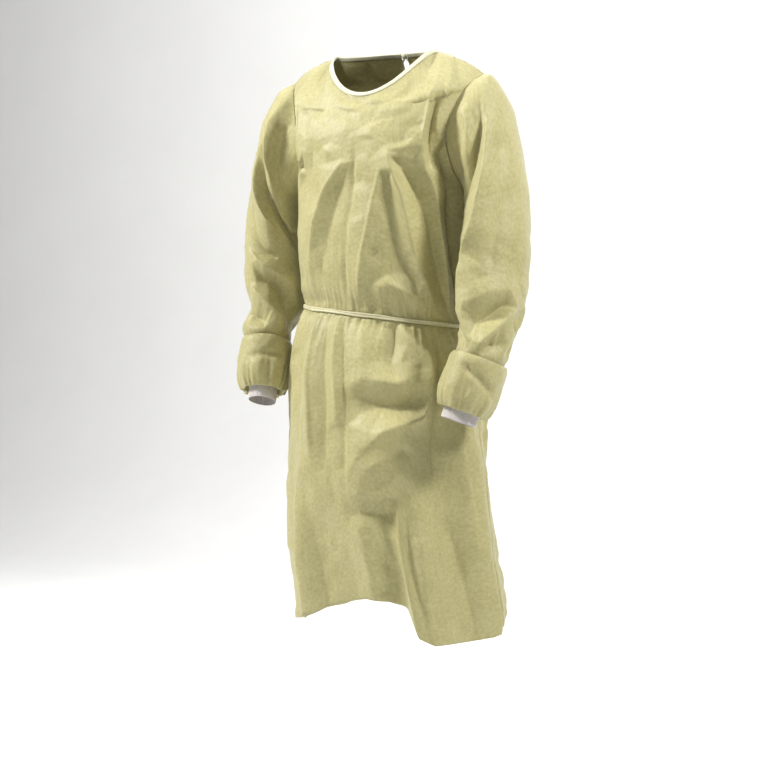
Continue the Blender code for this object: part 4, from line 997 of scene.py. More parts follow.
def panelNets():
    nets = {}
    levels = panelLevels()
    half = math.pi / 2
    frontAngles = np.linspace(-half, half, body["frontColumns"])
    share = np.linspace(0, 1, body["backColumns"])
    left = half + (half + lapEdge(levels))[:, None] * share
    spans = {
        "front_panel": (np.broadcast_to(frontAngles, (len(levels), len(frontAngles))), True, None),
        "back_panel_left": (left, False, True),
        "back_panel_right": (-left[:, ::-1], False, False),
    }
    for name, (angle, front, outer) in spans.items():
        level = np.broadcast_to(levels[:, None], angle.shape)
        net = bodyForm(angle, level, front)
        nets[name] = {"angle": angle, "level": level, "net": net, "normal": netNormals(net), "outer": outer}
    shareSeams(nets)
    for name, one in nets.items():
        angle, level = one["angle"], one["level"]
        lift = bodyLift(angle, level, one["net"], name == "front_panel")
        sideAway = np.abs(np.abs(angle) - math.pi / 2) * body["foldRadius"]
        # nothing stands out beside the arms or under the hanging tie ends
        widths = np.where(level > held["wideAbove"], held["armWidth"], held["lowWidth"])
        beside = smooth((widths - sideAway) / held["armFade"])
        beside = beside * smooth((level - held["armEnd"]) / held["armEndFade"])
        if one["outer"] is not None:
            underTies = smooth((held["tieWidth"] - np.abs(one["net"][..., 0])) / held["tieFade"])
            low, high = held["tieLevels"]
            beside = np.maximum(beside, underTies * (level < high) * (level > low))
        lift = lift - beside * np.maximum(lift + held["sunk"], 0)
        if one["outer"] is not None:
            lift = lift + lapLift(angle, level, one["outer"])
        topAway = (body["shoulderTop"] - level) * 1.1
        onNeck = np.where(middleAway(one, angle) > body["neckTurn"], 0, 1)
        hold = smooth(np.minimum(sideAway, topAway + onNeck) / 0.012)
        lift = lift * (0.35 + 0.65 * hold)
        lift += seamPucker(sideAway, level)
        lift += seamPucker(topAway, np.abs(angle) * 0.15) * (1 - onNeck)
        one["smoothNet"] = one["net"]
        one["net"] = settled(one["net"] + one["normal"] * lift[..., None])
        one["baseNormal"] = one["normal"]
        one["normal"] = netNormals(one["net"])
    return nets


def shareSeams(nets):
    # Two panels take the same outward direction where they are sewn together.
    front = nets["front_panel"]["normal"]
    side = nets["front_panel"]["level"][:, 0] <= body["underarm"] + 1e-6
    for frontColumn, name, column in ((-1, "back_panel_left", 0), (0, "back_panel_right", -1)):
        back = nets[name]["normal"]
        mean = unit(front[side, frontColumn] + back[side, column])
        front[side, frontColumn] = mean
        back[side, column] = mean
    for one in nets.values():
        angle = one["angle"][-1]
        seam = middleAway(one, angle) > body["neckTurn"] - 0.01
        flat = np.zeros_like(angle)
        slope = body["shoulderSlope"]
        out = np.stack((np.sign(angle) * math.sin(slope), flat, flat + math.cos(slope)), -1)
        one["normal"][-1, seam] = out[seam]


nets = panelNets()
panels = {}
for panelName, panelNet in nets.items():
    patch = flatPatch(panelNet["smoothNet"], panelNet["smoothNet"].shape[1] // 2)
    panel = netPiece(panelName + "_cloth", panelNet["net"], patch, gownCloth, wall=body["wall"])
    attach(panel, "root")
    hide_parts(panelName)
    panels[panelName] = panel
print("body panels made")

# Sleeves.
sleeves = {
    "cut": {"flat": (0.62, 0.83), "area": 0.31},
    "columns": 150,
    "step": 0.0031,
    "fewestRows": 3,
    "mostRows": 16,
    "wall": 0.0005,
    "foldRadius": 0.075,
    # inner x and height, outer x and height, middle y, half depth, pitch
    "upper": (
        (0.18, -0.288, 0.23, -0.068, 0.006, 0.08, 0), (0.183, -0.3, 0.253, -0.1, 0.004, 0.084, 0),
        (0.1835, -0.315, 0.273, -0.15, 0.001, 0.086, 0), (0.1825, -0.335, 0.29, -0.215, -0.004, 0.087, 2),
        (0.1805, -0.362, 0.299, -0.29, -0.01, 0.087, 4), (0.1795, -0.395, 0.303, -0.36, -0.018, 0.087, 7),
    ),
    # distance up from the cuff's edge, half width, half depth
    "fore": (
        (0.29, 0.061, 0.085), (0.25, 0.059, 0.079), (0.21, 0.055, 0.07), (0.17, 0.051, 0.061),
        (0.136, 0.047, 0.0545), (0.104, 0.0445, 0.051), (0.077, 0.043, 0.049), (0.071, 0.0442, 0.0502),
        (0.077, 0.0455, 0.0515), (0.1, 0.047, 0.053), (0.118, 0.048, 0.0545), (0.123, 0.0505, 0.057),
        (0.119, 0.0528, 0.0592), (0.096, 0.0555, 0.061), (0.067, 0.056, 0.061), (0.041, 0.053, 0.0575),
        (0.027, 0.0475, 0.051), (0.019, 0.0425, 0.0455), (0.021, 0.0395, 0.042), (0.029, 0.038, 0.038),
    ),
    "lipReach": 0.123,
    "elbowReach": 0.310,
    "wristTurnReach": 0.080,
    "puffFade": (0.190, 0.290),
    "cuffTop": 0.041,
    "cuffSeam": 0.0040,
    "cuffEase": 0.0015,
    "elbowBend": (-0.150, -0.400),
    "left": {
        "sign": 1,
        "elbow": (0.241, -0.028, -0.420),
        "lip": (0.249, -0.100, -0.597),
        "wrist": (0.216, -0.125, -0.713),
        "puff": 1.00,
        "cuff": (0.0345, 0.0270),
        "elbowShift": -0.010,
    },
    "right": {
        "sign": -1,
        "elbow": (0.241, 0.016, -0.415),
        "lip": (0.239, -0.050, -0.562),
        "wrist": (0.2260, -0.090, -0.680),
        "puff": 0.92,
        "cuff": (0.0250, 0.0315),
        "elbowShift": 0.034,
    },
    # lines of creases: degrees round the arm, metres down it, height in millimetres
    "leftCreases": (
        ((100, 0.002, 1), (104, 0.03, 6), (98, 0.05, 6), (84, 0.07, 4)),
        ((122, 0.065, -2), (112, 0.08, -7), (92, 0.1, -8), (66, 0.125, -6), (45, 0.15, -3)),
        ((132, 0.075, 5), (122, 0.1, 9), (108, 0.14, 10), (96, 0.18, 10), (84, 0.23, 9), (74, 0.28, 8),
         (64, 0.33, 7), (57, 0.37, 4)),
        ((140, 0.13, -1), (136, 0.18, -2), (130, 0.24, -3), (122, 0.3, -2)),
        ((172, 0.06, 3), (168, 0.12, 4), (166, 0.2, 4), (160, 0.28, 4), (158, 0.33, 3)),
        ((60, 0.17, -3), (50, 0.23, -4), (42, 0.29, -4), (36, 0.35, -4)),
        ((92, 0.427, -7), (113, 0.418, -10), (135, 0.405, -10), (156, 0.388, -7)),
        ((182, 0.375, 5), (166, 0.395, 8), (142, 0.43, 9), (118, 0.455, 8), (96, 0.48, 5)),
        ((116, 0.478, -3), (129, 0.458, -6), (148, 0.452, -4)),
        ((88, 0.395, 4), (113, 0.385, 5), (138, 0.37, 5), (160, 0.355, 4)),
        ((152, 0.474, 4), (170, 0.45, 5), (190, 0.43, 4)),
        ((56, 0.4, 4), (68, 0.425, 5), (80, 0.452, 3)),
        ((44, 0.43, -5), (60, 0.455, -6), (76, 0.478, -4)),
        ((200, 0.355, 4), (212, 0.385, 6), (208, 0.415, 4)),
        ((192, 0.408, -5), (214, 0.44, -6)),
    ),
    "rightCreases": (
        ((104, 0.008, -2), (95, 0.03, -6), (80, 0.045, -6), (64, 0.06, -3)),
        ((124, 0.03, 4), (112, 0.055, 7), (98, 0.078, 6), (80, 0.085, 4)),
        ((104, 0.098, -4), (88, 0.118, -8), (66, 0.142, -10), (46, 0.172, -10), (30, 0.207, -8),
         (18, 0.24, -4)),
        ((122, 0.105, 5), (108, 0.13, 8), (90, 0.158, 9), (68, 0.188, 9), (50, 0.22, 8), (36, 0.26, 6)),
        ((66, 0.095, 4), (48, 0.12, 5), (30, 0.155, 5)),
        ((112, 0.2, -3), (96, 0.24, -4), (80, 0.275, -5), (64, 0.295, -4)),
        ((118, 0.265, 4), (100, 0.3, 6), (84, 0.318, 7), (60, 0.326, 6), (40, 0.335, 4)),
        ((84, 0.34, -7), (62, 0.35, -11), (40, 0.366, -11), (20, 0.386, -8)),
        ((112, 0.352, 4), (90, 0.375, 7), (64, 0.39, 8), (40, 0.406, 6), (20, 0.42, 4)),
        ((120, 0.397, -4), (104, 0.41, -8), (86, 0.415, -9), (68, 0.422, -5)),
        ((112, 0.43, 3), (90, 0.44, 6), (64, 0.442, 6), (40, 0.45, 4)),
        ((150, 0.08, 3), (148, 0.16, 4), (146, 0.24, 4), (150, 0.32, 4)),
        ((170, 0.12, -3), (168, 0.22, -4), (172, 0.32, -4)),
        ((168, 0.37, -4), (142, 0.384, -6)),
        ((150, 0.42, 4), (175, 0.4, 4)),
    ),
    "hiddenCreases": (
        ((236, 0.02, 3), (232, 0.08, 6), (236, 0.16, 6), (244, 0.24, 4)),
        ((262, 0.04, -4), (256, 0.12, -6), (260, 0.2, -5)),
        ((286, 0.05, 4), (280, 0.14, 6), (282, 0.22, 5), (290, 0.3, 4)),
        ((312, 0.08, -5), (305, 0.16, -5), (310, 0.26, -4)),
        ((336, 0.14, 3), (330, 0.22, 4), (335, 0.31, 3)),
        ((226, 0.34, 4), (252, 0.365, 7), (285, 0.375, 6)),
        ((232, 0.395, -6), (260, 0.41, -7), (290, 0.405, -5)),
        ((240, 0.44, 5), (270, 0.45, 5), (300, 0.44, 4)),
        ((315, 0.355, 4), (345, 0.365, 4)),
        ((325, 0.4, -5), (350, 0.41, -5)),
        ((350, 0.44, 3), (320, 0.445, 3)),
    ),
    "crush": {
        "creaseScale": 1.7,
        "spacing": 0.024,
        "clear": 0.012,
        "height": 0.0018,
        "rounding": 0.0013,
        "seed": 8,
    },
    "edges": {"tall": 6, "widths": (0.005, 0.014), "ridge": 0.0030, "groove": 0.0024},
    # the deep crease over the turned-back end: degrees round and metres up from the cuff, twice
    "pinch": {"left": ((100, 0.094), (162, 0.066)), "right": ((20, 0.086), (80, 0.078))},
    "pinchWidth": 0.009,
    "pinchDepth": 0.0065,
    # the rings are numbered from the armhole: the first of the forearm, the last with creases
    "firstFore": 7,
    "lastCreased": 11.5,
}


def armholeLoop(turn, sign):
    # The armhole's edge, up the front and down the back, with the outward direction of the panel.
    share = turn / math.pi
    up = share <= 1
    climb = body["shoulderTop"] - body["underarm"]
    level = body["underarm"] + climb * np.where(up, share, 2 - share)
    place = np.empty((len(turn), 3))
    out = np.empty((len(turn), 3))
    backName = "back_panel_left" if sign > 0 else "back_panel_right"
    for name, column, chosen in (
        ("front_panel", -1 if sign > 0 else 0, up),
        (backName, 0 if sign > 0 else -1, ~up),
    ):
        one = nets[name]
        rows = one["level"][:, 0]
        for axis in range(3):
            place[chosen, axis] = np.interp(level[chosen], rows, one["net"][:, column, axis])
            out[chosen, axis] = np.interp(level[chosen], rows, one["baseNormal"][:, column, axis])
    return place, unit(out)


def armRing(centre, across, forward, halfWidth, halfDepth, turn):
    turn = turn[:, None]
    return centre - halfWidth * np.cos(turn) * across + halfDepth * np.sin(turn) * forward


def upperRing(row, side, turn):
    innerX, innerZ, outerX, outerZ, middleY, halfDepth, pitch = row
    start, end = sleeves["elbowBend"]
    shifted = middleY + side["elbowShift"] * smooth((start - outerZ) / (start - end))
    inner = np.array((innerX, shifted, innerZ))
    outer = np.array((outerX, shifted, outerZ))
    pitch = math.radians(pitch)
    forward = np.array((0, -math.cos(pitch), math.sin(pitch)))
    half = np.linalg.norm(outer - inner) / 2
    return armRing((inner + outer) / 2, unit(outer - inner), forward, half, halfDepth, turn)


def foreFrame(side, reach):
    wrist = np.array(side["wrist"])
    low = unit(np.array(side["lip"]) - wrist)
    lip = sleeves["lipReach"]
    above = np.array(side["elbow"]) - wrist - low * lip
    turned = smooth((reach - lip) / sleeves["wristTurnReach"])
    upward = unit(low * (1 - turned) + unit(above) * turned)
    past = max(reach - lip, 0)
    middle = wrist + low * min(reach, lip) + above * past / (sleeves["elbowReach"] - lip)
    forward = np.array((0.0, -1.0, 0.0))
    forward = unit(forward - forward @ upward * upward)
    return middle, np.cross(upward, forward), forward


def foreRing(row, side, turn):
    reach, halfWidth, halfDepth = row
    middle, across, forward = foreFrame(side, reach)
    start, end = sleeves["puffFade"]
    puff = 1 + (side["puff"] - 1) * smooth((end - reach) / (end - start))
    return armRing(middle, across, forward, halfWidth * puff, halfDepth * puff, turn)


def seamRing(side, turn):
    middle, across, forward = foreFrame(side, sleeves["cuffTop"] - sleeves["cuffSeam"])
    ease = sleeves["cuffEase"]
    return armRing(middle, across, forward, side["cuff"][0] + ease, side["cuff"][1] + ease, turn)


def throughRings(rings, places, wanted):
    # Points of a smooth curve through each column of rings.
    slopes = np.gradient(rings, places, axis=0)
    low = np.clip(np.searchsorted(places, wanted) - 1, 0, len(places) - 2)
    span = (places[low + 1] - places[low])[:, None, None]
    part = (wanted[:, None, None] - places[low][:, None, None]) / span
    return (
        rings[low] * (1 + 2 * part) * (1 - part) ** 2
        + rings[low + 1] * part**2 * (3 - 2 * part)
        + slopes[low] * span * part * (1 - part) ** 2
        + slopes[low + 1] * span * part**2 * (part - 1)
    )


def sleeveNet(name):
    side = sleeves[name]
    turn = np.linspace(0, 2 * math.pi, sleeves["columns"] + 1)
    loop, panelOut = armholeLoop(turn, side["sign"])
    mirror = np.array((side["sign"], 1, 1))
    rings = [upperRing(row, side, turn) for row in sleeves["upper"]]
    rings += [foreRing(row, side, turn) for row in sleeves["fore"]]
    rings.append(seamRing(side, turn))
    rings = settled(np.array(rings) * mirror)
    start = loop + unit(rings[0] - loop) * 0.0003 - panelOut * 0.0004
    rings = np.concatenate((start[None], rings))
    apart = np.linalg.norm(np.diff(rings, axis=0), axis=-1).mean(axis=1)
    places = np.concatenate(((0,), np.cumsum(apart)))
    down = distances(rings.mean(axis=1))
    counts = np.rint(apart / sleeves["step"]).astype(int)
    counts = np.clip(counts, sleeves["fewestRows"], sleeves["mostRows"])
    spans = zip(places[:-1], places[1:], counts)
    wanted = [np.linspace(low, high, count, endpoint=False) for low, high, count in spans]
    wanted = np.concatenate((*wanted, places[-1:]))
    net = throughRings(rings, places, wanted)
    net[:, -1] = net[:, 0]
    ring = np.interp(wanted, places, np.arange(len(places)))
    return net, turn, np.interp(wanted, places, down), ring


def sleeveLift(name, net, turn, down, ring):
    # Creases and crushing down to the turned-back end, held low at the armhole and beside the body.
    turn, down, ring = np.broadcast_arrays(turn[None, :], down[:, None], ring[:, None])
    creases = sleeves[name + "Creases"] + sleeves["hiddenCreases"]
    radius = sleeves["foldRadius"]
    lift = creaseLift(turn * radius, down, creases, radius, sleeves["crush"], (-1, 0, 1))
    lift += edgeLift(turn * radius, down, creases, radius, sleeves["edges"])
    lift += crumple(net, 0.045, 0.0011, 8.0 if name == "left" else 12.0)
    lift = lift * smooth(sleeves["lastCreased"] - ring) * (0.3 + 0.7 * smooth(down / 0.020))
    beside = smooth((np.cos(turn) - 0.25) / 0.35) * smooth((0.34 - down) / 0.04)
    lift = lift - beside * np.maximum(lift + 0.0025, 0)
    lift += seamPucker(down, turn * 0.09)
    return lift


def puffLift(name, net, turn, ring):
    # The turned-back end: small gathers that grow towards the elastic rim, and a rounded lip. The
    # sleeve's rings are counted from the armhole: 18 is the lip and 24 is the rim.
    turn, ring = np.broadcast_arrays(turn[None, :], ring[:, None])
    seed = 0.0 if name == "left" else 1.7
    outer = smooth((ring - 19.0) / 2.0) * smooth((26.6 - ring) / 0.8)
    nearRim = smooth((ring - 20.0) / 4.0)
    wave = np.cos(22 * turn + 1.4 * np.sin(3 * turn + seed) + 0.8 * np.sin(7 * turn))
    size = 0.65 + 0.35 * np.sin(5 * turn + seed) * np.cos(3 * turn)
    lift = 0.0032 * wave * size * nearRim * outer
    long = np.cos(9 * turn + 1.1 * np.sin(2 * turn + seed) + seed)
    lift += 0.0022 * long * smooth((ring - 19.6) / 2.0) * outer
    lip = np.exp(-(((ring - 17.8) / 1.2) ** 2))
    lift += 0.0016 * lip * np.cos(5 * turn + seed)
    lift += crumple(net, 0.030, 0.0016, 5.0 + seed) * smooth((ring - 17.0) / 1.5)
    return lift


def pinchLift(name, net, ring):
    # One deep crease across the turned-back end, where it was pushed down.
    (turnA, reachA), (turnB, reachB) = sleeves["pinch"][name]
    side = sleeves[name]
    rows = np.array([row[0] for row in sleeves["fore"]])
    turn = np.degrees(np.linspace(0, 2 * math.pi, net.shape[1]))
    reach = np.interp(ring, sleeves["firstFore"] + np.arange(len(rows)), rows)[:, None]
    share = np.clip((turn - turnA) / (turnB - turnA), -0.25, 1.25)
    line = reachA + (reachB - reachA) * share
    inside = smooth((share + 0.25) / 0.3) * smooth((1.25 - share) / 0.3)
    apart = (reach - line) / sleeves["pinchWidth"]
    onOuter = smooth((ring[:, None] - 17.6) / 0.8) * (ring[:, None] < 24)
    return -sleeves["pinchDepth"] * np.exp(-(apart**2)) * inside * onOuter * side["puff"]


for sleeveName in ("left", "right"):
    net, turn, down, ring = sleeveNet(sleeveName)
    outward = unit(net - net.mean(axis=1, keepdims=True))
    lift = sleeveLift(sleeveName, net, turn, down, ring) + puffLift(sleeveName, net, turn, ring)
    lift = lift + pinchLift(sleeveName, net, ring)
    lift[:, -1] = lift[:, 0]
    around = np.broadcast_to(turn[None] * sleeves["foldRadius"], net.shape[:2])
    along = np.broadcast_to(lengths(net, 0).mean(axis=1)[:, None], net.shape[:2])
    patch = np.stack((around, -along), axis=-1)
    net = net + outward * lift[..., None]
    net[:, -1] = net[:, 0]
    if sleeves[sleeveName]["sign"] > 0:
        net, patch = net[::-1], patch[::-1]
    else:
        net, patch = net[::-1, ::-1], patch[::-1, ::-1]
    pieceName = f"sleeve_{sleeveName}_cloth"
    sleeve = netPiece(pieceName, net, patch, gownCloth, closed=True, wall=sleeves["wall"])
    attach(sleeve, "root")
    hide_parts(f"sleeve_{sleeveName}")
print("sleeves made")

# Knit cuffs.
cuffs = {
    "ribs": 52,
    "ribHeight": 0.0012,
    "wall": 0.0009,
    "rows": 30,
    "pointsPerRib": 6,
    # the rolled-in edge at the hand, and how the ribs give way round the wrist
    "edgeRoll": 0.0008,
    "edgeShare": 0.04,
    "give": 0.0007,
    "sunk": 0.0004,
}


def makeCuff(name):
    side = sleeves[name]
    columns = cuffs["ribs"] * cuffs["pointsPerRib"]
    turn = np.linspace(0, 2 * math.pi, columns + 1)
    if side["sign"] > 0:
        turn = turn[::-1]
    halfWidth, halfDepth = side["cuff"]
    rows = []
    for share in np.linspace(0, 1, cuffs["rows"]):
        middle, across, forward = foreFrame(side, sleeves["cuffTop"] * share)
        flat = np.cos(turn)[:, None] * -across * halfWidth + np.sin(turn)[:, None] * forward * halfDepth
        rolled = -cuffs["edgeRoll"] * math.exp(-((share / cuffs["edgeShare"]) ** 2))
        rib = np.sqrt(np.abs(np.cos(turn * cuffs["ribs"] / 2))) - 0.72
        stretch = cuffs["give"] * np.sin(3 * turn + 5 * share) * (1 - share)
        grow = rib * cuffs["ribHeight"] * 0.9 + rolled + stretch - cuffs["sunk"]
        rows.append((middle + flat + unit(flat) * grow[:, None]) * (side["sign"], 1, 1))
    net = np.array(rows)
    net[:, -1] = net[:, 0]
    pieceName = f"knit_cuff_{name}_ribs"
    cuff = netPiece(pieceName, net, flatPatch(net), ribKnit, closed=True, wall=cuffs["wall"])
    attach(cuff, "root")
    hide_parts(f"knit_cuff_{name}")


makeCuff("left")
makeCuff("right")
print("cuffs made")

# Neck binding: a tape folded over the neck edge, stitched through both legs.
binding = {
    "width": 0.0074,
    "over": 0.0013,
    "proud": 0.0012,
    "wall": 0.0004,
    "steps": 360,
    # how often the line and its outward directions are softened at the shoulder seams
    "softenings": 14,
    "stitchLength": 0.0026,
    "stitchDrop": 0.0056,
    "threadWidth": 0.00022,
    "threadHeight": 0.00018,
}


def neckRoute():
    # The neck edge from the left nape by the front to the right nape, evenly spaced.
    places, outs = [], []
    for name in ("back_panel_left", "front_panel", "back_panel_right"):
        one = nets[name]
        inNeck = middleAway(one, one["angle"][-1]) < body["neckTurn"] + 0.005
        inNeck = np.flatnonzero(inNeck)[::-1]
        edge = one["net"][-1, inNeck]
        down = unit(one["net"][-4, inNeck] - edge)
        along = unit(np.gradient(edge, axis=0))
        out = unit(np.cross(along, down))
        out *= np.sign(np.sum(out * one["baseNormal"][-2, inNeck], axis=1))[:, None]
        places.append(edge)
        outs.append(out)
    line, out, gone = evenLine(np.concatenate(places), np.concatenate(outs), binding["steps"])
    out = softened(out, binding["softenings"])
    line = softened(line, binding["softenings"], 6)
    return line, unit(out), gone


def skinTree(pieces):
    points, faces = [], []
    for piece in pieces:
        first = len(points)
        points += [vertex.co.copy() for vertex in piece.data.vertices]
        faces += [[first + corner for corner in face.vertices] for face in piece.data.polygons]
    return BVHTree.FromPolygons(points, faces)


def clothHeight(tree, place, out):
    # How high the cloth stands beside the edge, along the outward direction.
    hit = tree.ray_cast(Vector(place + out * 0.012), Vector(-out), 0.024)[0]
    return 0.0 if hit is None else float((np.array(hit) - place) @ out)


def makeBinding():
    line, out, gone = neckRoute()
    ahead = unit(np.gradient(line, axis=0))
    off = unit(np.cross(ahead, out))
    off *= np.sign(np.sum(off * (0, 0, 1), axis=1).sum())
    skin = skinTree(panels.values())
    heights = []
    for place, inward, outward in zip(line, off * binding["width"], out):
        heights.append([clothHeight(skin, place - inward * part, outward) for part in (0.35, 0.70, 1.0)])
    heights = softened(np.array(heights), 6)
    pull = 0.00022 * np.sin(gone * 900 + 1.5 * np.sin(gone * 120))
    width = binding["width"] * (1 + 0.035 * np.sin(gone * 61))
    proud = binding["proud"]
    inner = body["wall"] + proud * 0.7
    over = binding["over"]
    low = heights[:, 2] + 0.0006 + pull
    middle = np.maximum(heights[:, 1], heights[:, 2] * 0.7) + proud * 0.9
    high = np.maximum(heights[:, 0], heights[:, 2] * 0.35) + proud
    # each point of the tape's section: how far over the edge, and how far out from the cloth
    profile = [
        (-width, low - 0.0003),
        (-width + 0.0004, low + 0.0003),
        (-width * 0.85, (low + middle) / 2 + 0.0001),
        (-width * 0.70, middle - pull),
        (-width * 0.50, (middle + high) / 2 + 0.0003),
        (-width * 0.30, high + 0.0002),
        (-width * 0.10, proud * 1.15),
    ]
    for angle in np.linspace(70, -70, 7):
        turned = math.radians(angle)
        depth = (proud + inner) / 2 * math.sin(turned) * 1.05 + (proud - inner) / 2
        profile.append((over * math.cos(turned), depth))
    profile += [
        (-width * 0.10, -inner * 1.1),
        (-width * 0.35, np.minimum(heights[:, 0], heights[:, 2] * 0.35) - inner),
        (-width * 0.70, np.minimum(heights[:, 1], heights[:, 2] * 0.7) - inner),
        (-width * 0.98, heights[:, 2] - inner * 0.9 - pull),
    ]
    flat = np.zeros_like(gone)
    rows = [line + off * (rise + flat)[:, None] + out * (depth + flat)[:, None] for rise, depth in profile]
    net = np.array(rows)
    piece = netPiece("neck_binding_tape", net, flatPatch(net), tape, wall=binding["wall"])
    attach(piece, "root")
    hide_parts("neck_binding")
    return line, off, out, low, middle, gone


bindingRoute = makeBinding()
print("neck binding made")


def stitchRow(name, line, out, ahead, material):
    # One short rounded stitch after another along a line: each a small squashed ball.
    made = bmesh.new()
    for place, up, forward in zip(line, out, ahead):
        ball = bmesh.ops.create_uvsphere(made, u_segments=6, v_segments=5, radius=1.0)["verts"]
        sideways = np.cross(up, forward)
        for vertex in ball:
            x, y, z = vertex.co
            along = forward * z * binding["stitchLength"] * 0.42
            aside = sideways * x * binding["threadWidth"]
            vertex.co = place + along + aside + up * y * binding["threadHeight"]
    piece = newPiece(name, made, material)
    piece.data.shade_smooth()
    return piece


def bindingStitches():
    line, off, out, low, middle, gone = bindingRoute
    drop = binding["stitchDrop"]
    share = drop / binding["width"]
    height = low + (middle - low) * (1 - share) / 0.3 + 0.00045
    seam = line - off * drop + out * height[:, None]
    wanted = np.arange(0.004, gone[-1] - 0.004, binding["stitchLength"])
    spots = sampled(wanted, gone, seam)
    ups = unit(sampled(wanted, gone, out))
    piece = stitchRow("neck_binding_stitches", spots, ups, unit(np.gradient(spots, axis=0)), thread)
    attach(piece, "root")


bindingStitches()

# The waist tie: a narrow folded strip of the gown's own cloth, in a paler copy of it: doubled cloth with a
# painted highlight.
tie = {
    "width": 0.0080,
    "thickness": 0.0027,
    "steps": 520,
    "knotTurn": math.radians(3.2),
    "rise": 0.0055,
    "riseLength": 0.030,
    "clear": 0.0010,
    # the strip's section: share of the half width, share of the thickness, share of the roll
    "section": (
        (-0.92, 0.05, 0), (-1.0, 0.45, 0), (-0.94, 0.86, 0), (-0.70, 1.02, 0.6), (-0.30, 0.98, 1),
        (0.02, 0.80, 0.4), (0.10, 0.76, -0.4), (0.20, 1.00, -1), (0.62, 1.08, -0.6), (0.94, 0.90, 0),
        (1.0, 0.48, 0), (0.92, 0.05, 0), (-0.92, 0.05, 0),
    ),
}


def tieRoute():
    # From one side of the knot by the front to its other side.
    places, outs = [], []
    waist = body["waistHeight"]
    knotTurn = tie["knotTurn"]
    lap = math.pi + float(lapEdge(np.array(waist)))
    for name, start, end in (
        ("back_panel_left", math.pi - knotTurn, math.pi / 2),
        ("front_panel", math.pi / 2, -math.pi / 2),
        ("back_panel_right", -math.pi / 2, lap - 2 * math.pi + 0.04),
        ("back_panel_left", lap - 0.012, math.pi + knotTurn),
    ):
        one = nets[name]
        row = int(np.abs(one["level"][:, 0] - waist).argmin())
        angle = one["angle"][row]
        wanted = np.linspace(start, end, max(6, int(abs(end - start) / 0.02)))
        places.append(sampled(wanted, angle, one["net"][row]))
        outs.append(sampled(wanted, angle, one["normal"][row]))
    return np.concatenate(places), unit(np.concatenate(outs))


def makeTie():
    line, out, gone = evenLine(*tieRoute(), tie["steps"])
    out = unit(softened(out, 10))
    share = gone / gone[-1]
    atKnot = np.minimum(share, 1 - share) * gone[-1]
    lift = tie["rise"] * (1 - smooth(atKnot / tie["riseLength"])) + tie["clear"]
    line = line + out * lift[:, None]
    ahead = unit(np.gradient(line, axis=0))
    upward = unit(np.cross(out, ahead))
    upward *= np.sign(upward[:, 2].sum())
    wave = 1 + 0.07 * np.sin(gone * 47) + 0.05 * np.sin(gone * 113 + 1.3)
    sway = 0.0007 * np.sin(gone * 19) + 0.0004 * np.sin(gone * 61 + 2)
    roll = 0.0003 * np.sin(gone * 39 + 0.7)
    half = tie["width"] / 2 * wave
    rows = []
    for across, depth, lean in tie["section"]:
        deep = tie["thickness"] * depth + roll * lean
        rows.append(line + upward * (half * across + sway)[:, None] + out * deep[:, None])
    net = np.array(rows)
    # the strip takes the paler cloth with its painted highlight, while the knot and the hanging ends keep
    # the plain cloth
    piece = netPiece("waist_tie_strip", net, flatPatch(net), doubledTieClothPaintedHighlight, closed=True)
    made = bmesh.new()
    made.from_mesh(piece.data)
    bmesh.ops.holes_fill(made, edges=[edge for edge in made.edges if edge.is_boundary], sides=0)
    bmesh.ops.recalc_face_normals(made, faces=made.faces[:])
    made.to_mesh(piece.data)
    made.free()
    piece.data.shade_smooth()
    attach(piece, "root")
    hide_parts("waist_tie")


makeTie()
print("waist tie made")

# Knots: bands of tape drawn tight round each other.
knots = {
    "waist_knot": {"centre": (0, 0.1352, -0.5105), "half": (0.0080, 0.0050, 0.0070), "slot": "gown"},
    "neck_knot": {"centre": (0, 0.0880, 0.0095), "half": (0.0056, 0.0055, 0.0060), "slot": "binding"},
    # turn about the out axis, turn about the long axis, width share
    "bands": ((24, 90, 0.80), (-32, 84, 0.72), (4, 8, 0.55)),
    "wall": 0.0006,
}


def bandNet(half, lean, tip, share, width):
    # One closed band round the knot's core, flattened and curved across its width.
    around = np.linspace(0, 2 * math.pi, 49)
    across = np.linspace(-1, 1, 9)
    ring = np.stack((0 * around, np.cos(around) * half[1], np.sin(around) * half[2]), axis=-1)
    out = np.stack((0 * around, np.cos(around), np.sin(around)), axis=-1)
    net = ring[:, None] + np.array((1, 0, 0)) * (across * width * share / 2)[None, :, None]
    bulge = (0.0010 * (1 - across**2))[None, :, None]
    wrinkle = 0.00025 * np.sin(across * 9)[None, :, None]
    net = net + out[:, None] * (bulge + wrinkle)
    for axis, degrees in ((1, lean), (2, tip)):
        turn = math.radians(degrees)
        first, second = ((0, 2), (0, 1))[axis == 2]
        a, b = net[..., first].copy(), net[..., second].copy()
        net[..., first] = a * math.cos(turn) - b * math.sin(turn)
        net[..., second] = a * math.sin(turn) + b * math.cos(turn)
    return net


def makeKnot(name):
    knot = knots[name]
    half = np.array(knot["half"])
    material = gownCloth if knot["slot"] == "gown" else tape
    core = bmesh.new()
    bmesh.ops.create_uvsphere(core, u_segments=28, v_segments=18, radius=1.0)
    for vertex in core.verts:
        place = np.array(vertex.co)
        dent = 1 + 0.06 * math.sin(6 * math.atan2(place[2], place[0])) * (1 - abs(place[1]))
        vertex.co = place * half * 0.86 * dent + knot["centre"]
    piece = newPiece(name + "_core", core, material)
    piece.data.uv_layers.new(name="cloth")
    piece.data.shade_smooth()
    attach(piece, "root")
    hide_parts(name)
    for count, (lean, tip, share) in enumerate(knots["bands"]):
        net = bandNet(half * 0.97, lean, tip - 90, share, half[0] * 1.5) + knot["centre"]
        bandName = f"{name}_band_{count + 1}"
        band = netPiece(bandName, net, flatPatch(net), material, closed=True, wall=knots["wall"])
        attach(band, "root")


makeKnot("waist_knot")
makeKnot("neck_knot")
print("knots made")


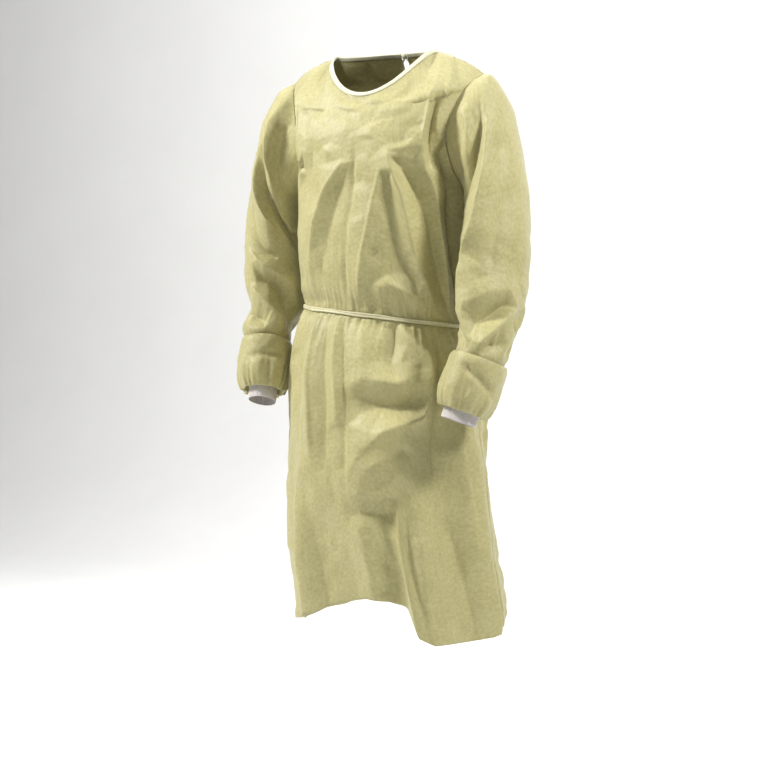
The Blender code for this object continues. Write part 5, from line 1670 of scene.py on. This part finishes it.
# Studio: pale floor that curves up behind, soft light.
studio = {
    "floor": -1.52,
    "back": 4.6,
    "front": -5.0,
    "side": 7.0,
    "bend": 1.4,
    "wallTop": 4.5,
    "lights": (
        # name, place, what it is turned to, size, power, colour
        ("keyLight", (-2.35, -1.50, 1.75), (0, 0, -0.3), 0.5, 178, (1.0, 0.985, 0.96)),
        ("sideLight", (2.30, -0.30, 1.50), (0, 0, -0.3), 0.5, 88, (1.0, 0.99, 0.97)),
        ("frontLight", (0.60, -2.40, 1.90), (0, 0, -0.2), 0.9, 22, (1.0, 1.0, 1.0)),
        ("rearLight", (-1.2, 3.0, 1.6), (0, 0, -0.5), 1.6, 40, (0.97, 0.98, 1.0)),
        ("wallLight", (0.0, 1.4, 3.4), (-1.0, 4.6, 0.6), 3.0, 170, (1.0, 1.0, 1.0)),
    ),
    "sky": 0.11,
}


def makeStudio():
    material, tree, shader = newMaterial("paleFloor")
    coordinates = tree.nodes.new("ShaderNodeTexCoord")
    grain = cloudNoise(tree, coordinates.outputs["Object"], 3.0, 4)
    base = finishes["studio"]["colour"]
    dull = tuple(value * 0.97 for value in base[:3]) + (1,)
    tree.links.new(ramp(tree, grain, 0.3, 0.7, dull, base), shader.inputs["Base Color"])
    setInputs(shader, {"Roughness": 0.9, "Specular IOR Level": 0.1})
    side, floor, bend = studio["side"], studio["floor"], studio["bend"]
    profile = [(studio["front"], floor), (studio["back"] - bend, floor)]
    for degrees in range(10, 91, 10):
        turn = math.radians(degrees)
        profile.append((studio["back"] - bend + bend * math.sin(turn), floor + bend * (1 - math.cos(turn))))
    profile.append((studio["back"], studio["wallTop"]))
    across = np.linspace(-side, side, 9)
    net = np.array([[(x, y, z) for x in across] for y, z in profile])
    sweep = netPiece("studioSweep", net, net[..., :2], material)
    world = bpy.data.worlds.new("softSky")
    world.use_nodes = True
    sky = world.node_tree.nodes["Background"]
    sky.inputs[0].default_value = (1, 1, 1, 1)
    sky.inputs[1].default_value = studio["sky"]
    bpy.context.scene.world = world
    for name, place, aim, size, power, colour in studio["lights"]:
        lamp = bpy.data.lights.new(name, "AREA")
        lamp.size = size
        lamp.energy = power
        lamp.color = colour
        holder = bpy.data.objects.new(name, lamp)
        bpy.context.scene.collection.objects.link(holder)
        holder.location = place
        holder.rotation_euler = (Vector(aim) - Vector(place)).to_track_quat("-Z", "Y").to_euler()
    bpy.context.scene.view_settings.view_transform = "Standard"
    bpy.context.scene.view_settings.look = "None"


makeStudio()
print("studio made")
